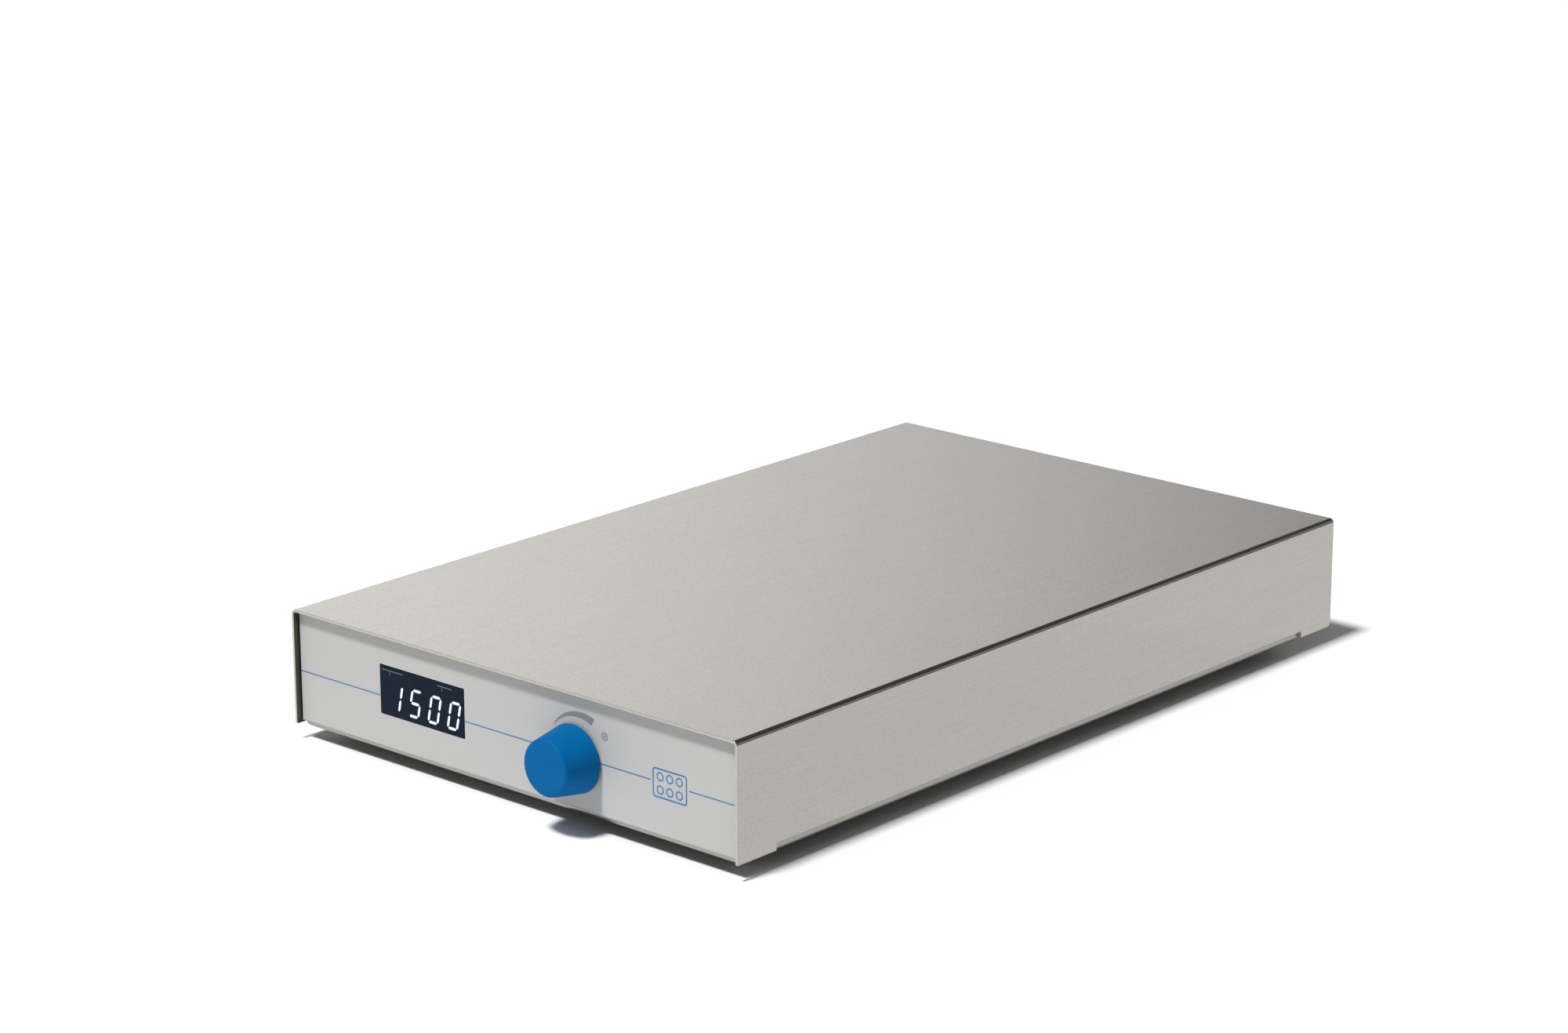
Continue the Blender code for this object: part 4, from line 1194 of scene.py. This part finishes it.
# Middles of its two-ended small parts
SMALL_PARTS = ((-26, 38), (-20, 38), (-66, 20), (-66, 26), (4, 38), (8, 38), (30, 41), (36, 41))


def make_control_board():
    """What stands on the front board's rear face: chips with their leads, and small parts."""
    bodies, leads = [], []
    for x, z, length, width, pins in CHIPS:
        bodies.append(moved(plate(centred(length, width, 0.2, 2), 0.15, 1.6), x, z))
        for i in range(pins):
            px = x + (i - (pins - 1) / 2) * length / pins
            for side in (z - width / 2, z + width / 2):
                leads.append(block(px - 0.2, px + 0.2, side - 0.8, side + 0.8, 0, 0.4))
    for x, z in SMALL_PARTS:
        bodies.append(block(x - 0.9, x + 0.9, z - 0.6, z + 0.6, 0.05, 0.7))
        leads.append(block(x - 1.4, x + 1.4, z - 0.55, z + 0.55, 0, 0.35))
    at = (0, span("control_board")[1].y, 0)
    upright = REARWARD @ Matrix.Scale(-1, 4, (0, 1, 0))
    piece("control_chips", facing(merged(bodies), upright), "black", at)
    piece("control_leads", facing(merged(leads), upright), "tin", at)


def make_display_module():
    """Four-digit module with a cell for each digit in its face."""
    low, high = span("display_module")
    at = centre("display_module")
    width, height, depth = high.x - low.x, high.z - low.z, high.y - low.y
    bm = facing(plate(centred(width, height, 0.6), 0, depth), FRONTWARD)
    module = piece("display_module_case", bm, "black", (at.x, high.y, at.z), "display_module")
    cells = []
    for i in range(4):
        x = (i - 1.5) * width / 4
        cells.append(plate(rounded(x - 4.2, x + 4.2, -6.2, 6.2, 0.5), depth - 0.6, depth + 2))
    shape(module, facing(merged(cells), FRONTWARD))
    soften(module, 0.15, 2, 40)


def fin_block(width, depth, height, fins):
    """A heat sink: a base with upright fins."""
    parts = [block(-width / 2, width / 2, -depth / 2, depth / 2, 0, 2)]
    for i in range(fins):
        x = -width / 2 + 0.6 + (width - 1.2) * i / (fins - 1)
        parts.append(block(x - 0.6, x + 0.6, -depth / 2, depth / 2, 1.9, height))
    return merged(parts)


def make_transformer(top):
    at = centre("transformer")
    here = (at.x, at.y, top)
    height = span("transformer")[1].z - top
    limbs = plate(centred(30, 13, 0.3), 3.0, height)
    core = piece("transformer_core", limbs, "ferrite", here, "transformer", slot="transformer")
    soften(core, 0.3)
    wrap = piece("transformer_winding", plate(centred(21, 22.8, 3), 3.4, height - 1), "tape", here)
    shape(wrap, plate(centred(32, 13.2, 0.3), 0, 40))
    soften(wrap, 0.3)
    bobbin = [block(-12, 12, -12, 12, 0.4, 3.0)]
    pins = [(x, y) for x in (-10, -5, 0, 5, 10) for y in (-11, 11)]
    bobbin += [block(x - 0.4, x + 0.4, y - 0.4, y + 0.4, 0.05, 0.5) for x, y in pins]
    base = piece("transformer_bobbin", merged(bobbin), "black", here)
    soften(base, 0.25)


def make_mains_capacitor(top):
    low, high = span("mains_capacitor")
    at = centre("mains_capacitor")
    radius, foot, height = (high.x - low.x) / 2, low.z - top, high.z - top
    profile = [(0, foot), (radius - 0.4, foot), (radius, 0.7), (radius, 2.4), (radius - 0.6, 2.8)]
    profile += [(radius, 3.2)] + arc(radius - 0.9, height - 0.9, 0.9, 0, 90, 5)
    profile += [(radius - 1.4, height), (radius - 1.6, height - 0.3), (0, height - 0.3)]
    bm = turned(profile, MEDIUM)
    can = piece("mains_capacitor_can", bm, "sleeve", (at.x, at.y, top), "mains_capacitor")
    arm = radius * 0.6
    shape(can, block(-arm, arm, -0.2, 0.2, height - 0.6, height + 1),
          block(-0.2, 0.2, -arm, arm, height - 0.6, height + 1))


def make_terminal_block(at):
    ways = (-3.6, 0, 3.6)
    terminal = piece("terminal_block", plate(centred(12, 8, 0.4), 0.05, 9), "green", at)
    holes = [moved(rod(1.4, 6.5, 12, 24), x) for x in ways]
    ports = [moved(facing(rod(1.3, -8, -2.5, 24), FRONTWARD), x, 0, 3.0) for x in ways]
    shape(terminal, merged(holes), merged(ports))
    soften(terminal, 0.15, 2, 40)
    head = [(0, 5.6), (1.25, 5.6), (1.25, 6.9), (1.05, 7.1), (0, 7.1)]
    piece("terminal_screws", merged([moved(turned(head, 24), x) for x in ways]), "zinc", at)


def make_power_board():
    """What stands on the power board: transformer, capacitors, heat sink, terminal block and fuse."""
    low, high = span("power_board")
    top = high.z
    make_transformer(top)
    make_mains_capacitor(top)
    sink = piece("power_heat_sink", fin_block(16, 9, 12, 6), "can", (-20, 62, top + 0.1))
    soften(sink, 0.15)
    make_terminal_block((low.x + 7, high.y - 6, top))
    ends = [(2.4, 10), (2.6, 9.7), (2.6, 5.2), (2.3, 5)]
    fuse = [(0, -10)] + [(r, -z) for r, z in ends] + ends[::-1] + [(0, 10)]
    piece("mains_fuse", facing(turned(fuse, MEDIUM), ALONG_X), "white", (12, high.y - 10, top + 3.4))
    clips = [moved(plate(centred(3.2, 6.2, 0.3), 0.05, 2.9), x) for x in (-7, 7)]
    piece("fuse_clips", merged(clips), "tin", (12, high.y - 10, top))
    can = [(0, 0.1), (2.5, 0.1), (2.5, 7.6), (2.1, 8), (0, 8)]
    cans = [moved(turned(can, 32), x, y) for x, y in ((-30, 50), (30, 54), (30, 61))]
    piece("output_capacitors", merged(cans), "sleeve", (0, 0, top))


def relaxed(points, steps=8):
    """A smooth curve through points, as a Catmull-Rom spline."""
    p = [Vector(q) for q in points]
    p = [2 * p[0] - p[1]] + p + [2 * p[-1] - p[-2]]
    route = []
    for a, b, c, d in zip(p, p[1:], p[2:], p[3:]):
        for i in range(steps):
            t = i / steps
            tangents = (c - a) * t + (2 * a - 5 * b + 4 * c - d) * t**2 + (3 * b - a - 3 * c + d) * t**3
            route.append(b + tangents / 2)
    return route + [p[-2]]


def make_wires():
    """Insulated wires that the case holds all the way: inlet to switch, and on to the terminal block."""
    inlet = centre("power_inlet")
    tags = span("power_inlet")[0].y + 1.5
    switch = centre("switch_body")
    behind = span("switch_body")[0].y
    low, high = span("power_board")
    x, y, z = low.x + 7, high.y + 0.4, high.z + 3.0  # the terminal block's middle port
    routes = {
        "brown": [(inlet.x + 7, tags, inlet.z + 2), (inlet.x + 9, tags - 9, 22),
                  (switch.x - 8, behind - 16, 20), (switch.x - 2, behind - 6, switch.z + 3),
                  (switch.x - 1, behind + 0.2, switch.z + 4)],
        "blue": [(inlet.x - 7, tags, inlet.z + 2), (inlet.x - 6, tags - 10, 18),
                 (inlet.x + 14, tags - 16, 12), (x - 5, y + 9, 13), (x - 3.6, y, z)],
        "yellow": [(inlet.x, tags, inlet.z - 2), (inlet.x + 2, tags - 8, 16), (inlet.x + 16, tags - 13, 10),
                   (x + 1, y + 9, 12), (x, y, z)],
        "live": [(switch.x + 1, behind + 0.2, switch.z - 4), (switch.x + 2, behind - 8, 17),
                 (switch.x + 5, behind - 22, 12), (x + 5, y + 8, 13), (x + 3.6, y, z)],
    }
    for name, points in routes.items():
        colour = "brown" if name == "live" else name
        piece(f"mains_wire_{name}", swept(relaxed(points), WIRE_RADIUS), f"{colour}_wire")


# CAD nodes that are shown as they are: the finish and the rounding of their edges
KEPT = {
    "front_overlay": ("film", 0.05),
    "display_window": ("window", 0.1),
    "control_board": ("board", 0.05),
    "power_board": ("board", 0.05),
}


def keep_cad_nodes():
    for node, (finish, width) in KEPT.items():
        obj = frame["nodes"][node]
        obj.data.materials.clear()
        obj.data.materials.append(FINISHES[finish][1])
        soften(obj, width)


# Stage, light and camera

CAMERA_AT = (1.0289, -1.1759, 0.5338)
CAMERA_AZIMUTH = 41.69
CAMERA_ELEVATION = 16.46
CAMERA_ROLL = -0.12
LENS = 96.0
FLOOR_REACH = 14.0  # metres from the middle to the floor's sides
FLOOR_HEIGHT = -0.0002  # metres, just under the feet

# The studio round the object: dim at the horizon, a grey band, dim again, and a soft light overhead.
# Each stop is a direction's height, from 0 at the horizon to 1 overhead, and its brightness.
SKY = ((0.0, 0.06), (0.14, 0.12), (0.22, 0.37), (0.42, 0.40),
       (0.47, 0.07), (0.84, 0.07), (0.93, 0.25), (1.0, 0.3))
# A large bright panel low behind the left side: the direction that it is in, its brightness, and the cosines
# of the angles from that direction at which its glow ends and is full
GLOW_TOWARDS = (-0.81, 0.50, 0.31)
GLOW = 0.95
GLOW_EDGES = (0.90, 0.99)
BACKDROP = (1.0, 1.0, 1.0, 1.0)  # what the camera sees past the floor's edge
KEY_STRENGTH = 3.25
KEY_SOFTNESS = 9.0
KEY_DIRECTION = (0.05, 0.45, -1.0)


def make_stage():
    bm = bmesh.new()
    bmesh.ops.create_grid(bm, x_segments=2, y_segments=2, size=FLOOR_REACH)
    mesh = bpy.data.meshes.new("floor")
    bm.to_mesh(mesh)
    bm.free()
    floor = bpy.data.objects.new("floor", mesh)
    floor.location.z = FLOOR_HEIGHT
    bpy.context.scene.collection.objects.link(floor)
    f = Finish("floor_paper", (0.93, 0.93, 0.93), 0.9)
    f.gloss(f.noise(40), 0.85, 0.95)
    mesh.materials.append(f.material)


def make_sky():
    world = bpy.data.worlds.new("studio")
    bpy.context.scene.world = world
    world.use_nodes = True
    nodes, links = world.node_tree.nodes, world.node_tree.links
    place = nodes.new("ShaderNodeTexCoord").outputs["Generated"]
    parts = nodes.new("ShaderNodeSeparateXYZ")
    ramp = nodes.new("ShaderNodeValToRGB")
    links.new(place, parts.inputs[0])
    links.new(parts.outputs["Z"], ramp.inputs[0])
    stops = ramp.color_ramp.elements
    while len(stops) < len(SKY):
        stops.new(0.5)
    for stop, (position, level) in zip(stops, SKY):
        stop.position = position
        stop.color = (level, level, level, 1)
    nearness = nodes.new("ShaderNodeVectorMath")
    nearness.operation = "DOT_PRODUCT"
    nearness.inputs[1].default_value = Vector(GLOW_TOWARDS).normalized()
    links.new(place, nearness.inputs[0])
    glow = nodes.new("ShaderNodeMapRange")
    for name, value in (("From Min", GLOW_EDGES[0]), ("From Max", GLOW_EDGES[1]), ("To Max", GLOW)):
        glow.inputs[name].default_value = value
    links.new(nearness.outputs["Value"], glow.inputs["Value"])
    total = nodes.new("ShaderNodeMath")
    total.operation = "ADD"
    links.new(ramp.outputs[0], total.inputs[0])
    links.new(glow.outputs[0], total.inputs[1])
    shown = nodes.new("ShaderNodeMix")
    shown.data_type = "RGBA"
    shown.inputs[7].default_value = BACKDROP
    links.new(nodes.new("ShaderNodeLightPath").outputs["Is Camera Ray"], shown.inputs[0])
    links.new(total.outputs[0], shown.inputs[6])
    links.new(shown.outputs[2], nodes["Background"].inputs["Color"])


def make_key():
    sun = bpy.data.lights.new("key", "SUN")
    sun.energy = KEY_STRENGTH
    sun.angle = math.radians(KEY_SOFTNESS)
    key = bpy.data.objects.new("key", sun)
    key.rotation_euler = Vector(KEY_DIRECTION).to_track_quat("-Z", "Y").to_euler()
    bpy.context.scene.collection.objects.link(key)


def make_camera():
    camera = bpy.data.cameras.new("camera")
    camera.sensor_width = 36.0
    camera.lens = LENS
    camera.clip_start = 0.05
    obj = bpy.data.objects.new("camera", camera)
    a, e = math.radians(CAMERA_AZIMUTH), math.radians(CAMERA_ELEVATION)
    back = Vector((math.sin(a) * math.cos(e), -math.cos(a) * math.cos(e), math.sin(e)))
    aim = (-back).to_track_quat("-Z", "Y").to_matrix()
    roll = Matrix.Rotation(math.radians(CAMERA_ROLL), 3, "Z")
    obj.matrix_world = Matrix.Translation(CAMERA_AT) @ (aim @ roll).to_4x4()
    bpy.context.scene.collection.objects.link(obj)
    bpy.context.scene.camera = obj
    bpy.context.scene.view_settings.view_transform = "Standard"


for make in (
    make_cover, make_tray, make_feet, make_screws, make_pillars, make_panel_marks, make_digits,
    make_window_ticks, make_knob, make_encoder, make_rotors, make_motor, make_rollers,
    make_tensioner, make_belt, make_inlet, make_switch, make_control_board, make_display_module,
    make_power_board, make_wires, keep_cad_nodes, make_stage, make_sky, make_key, make_camera,
):
    make()
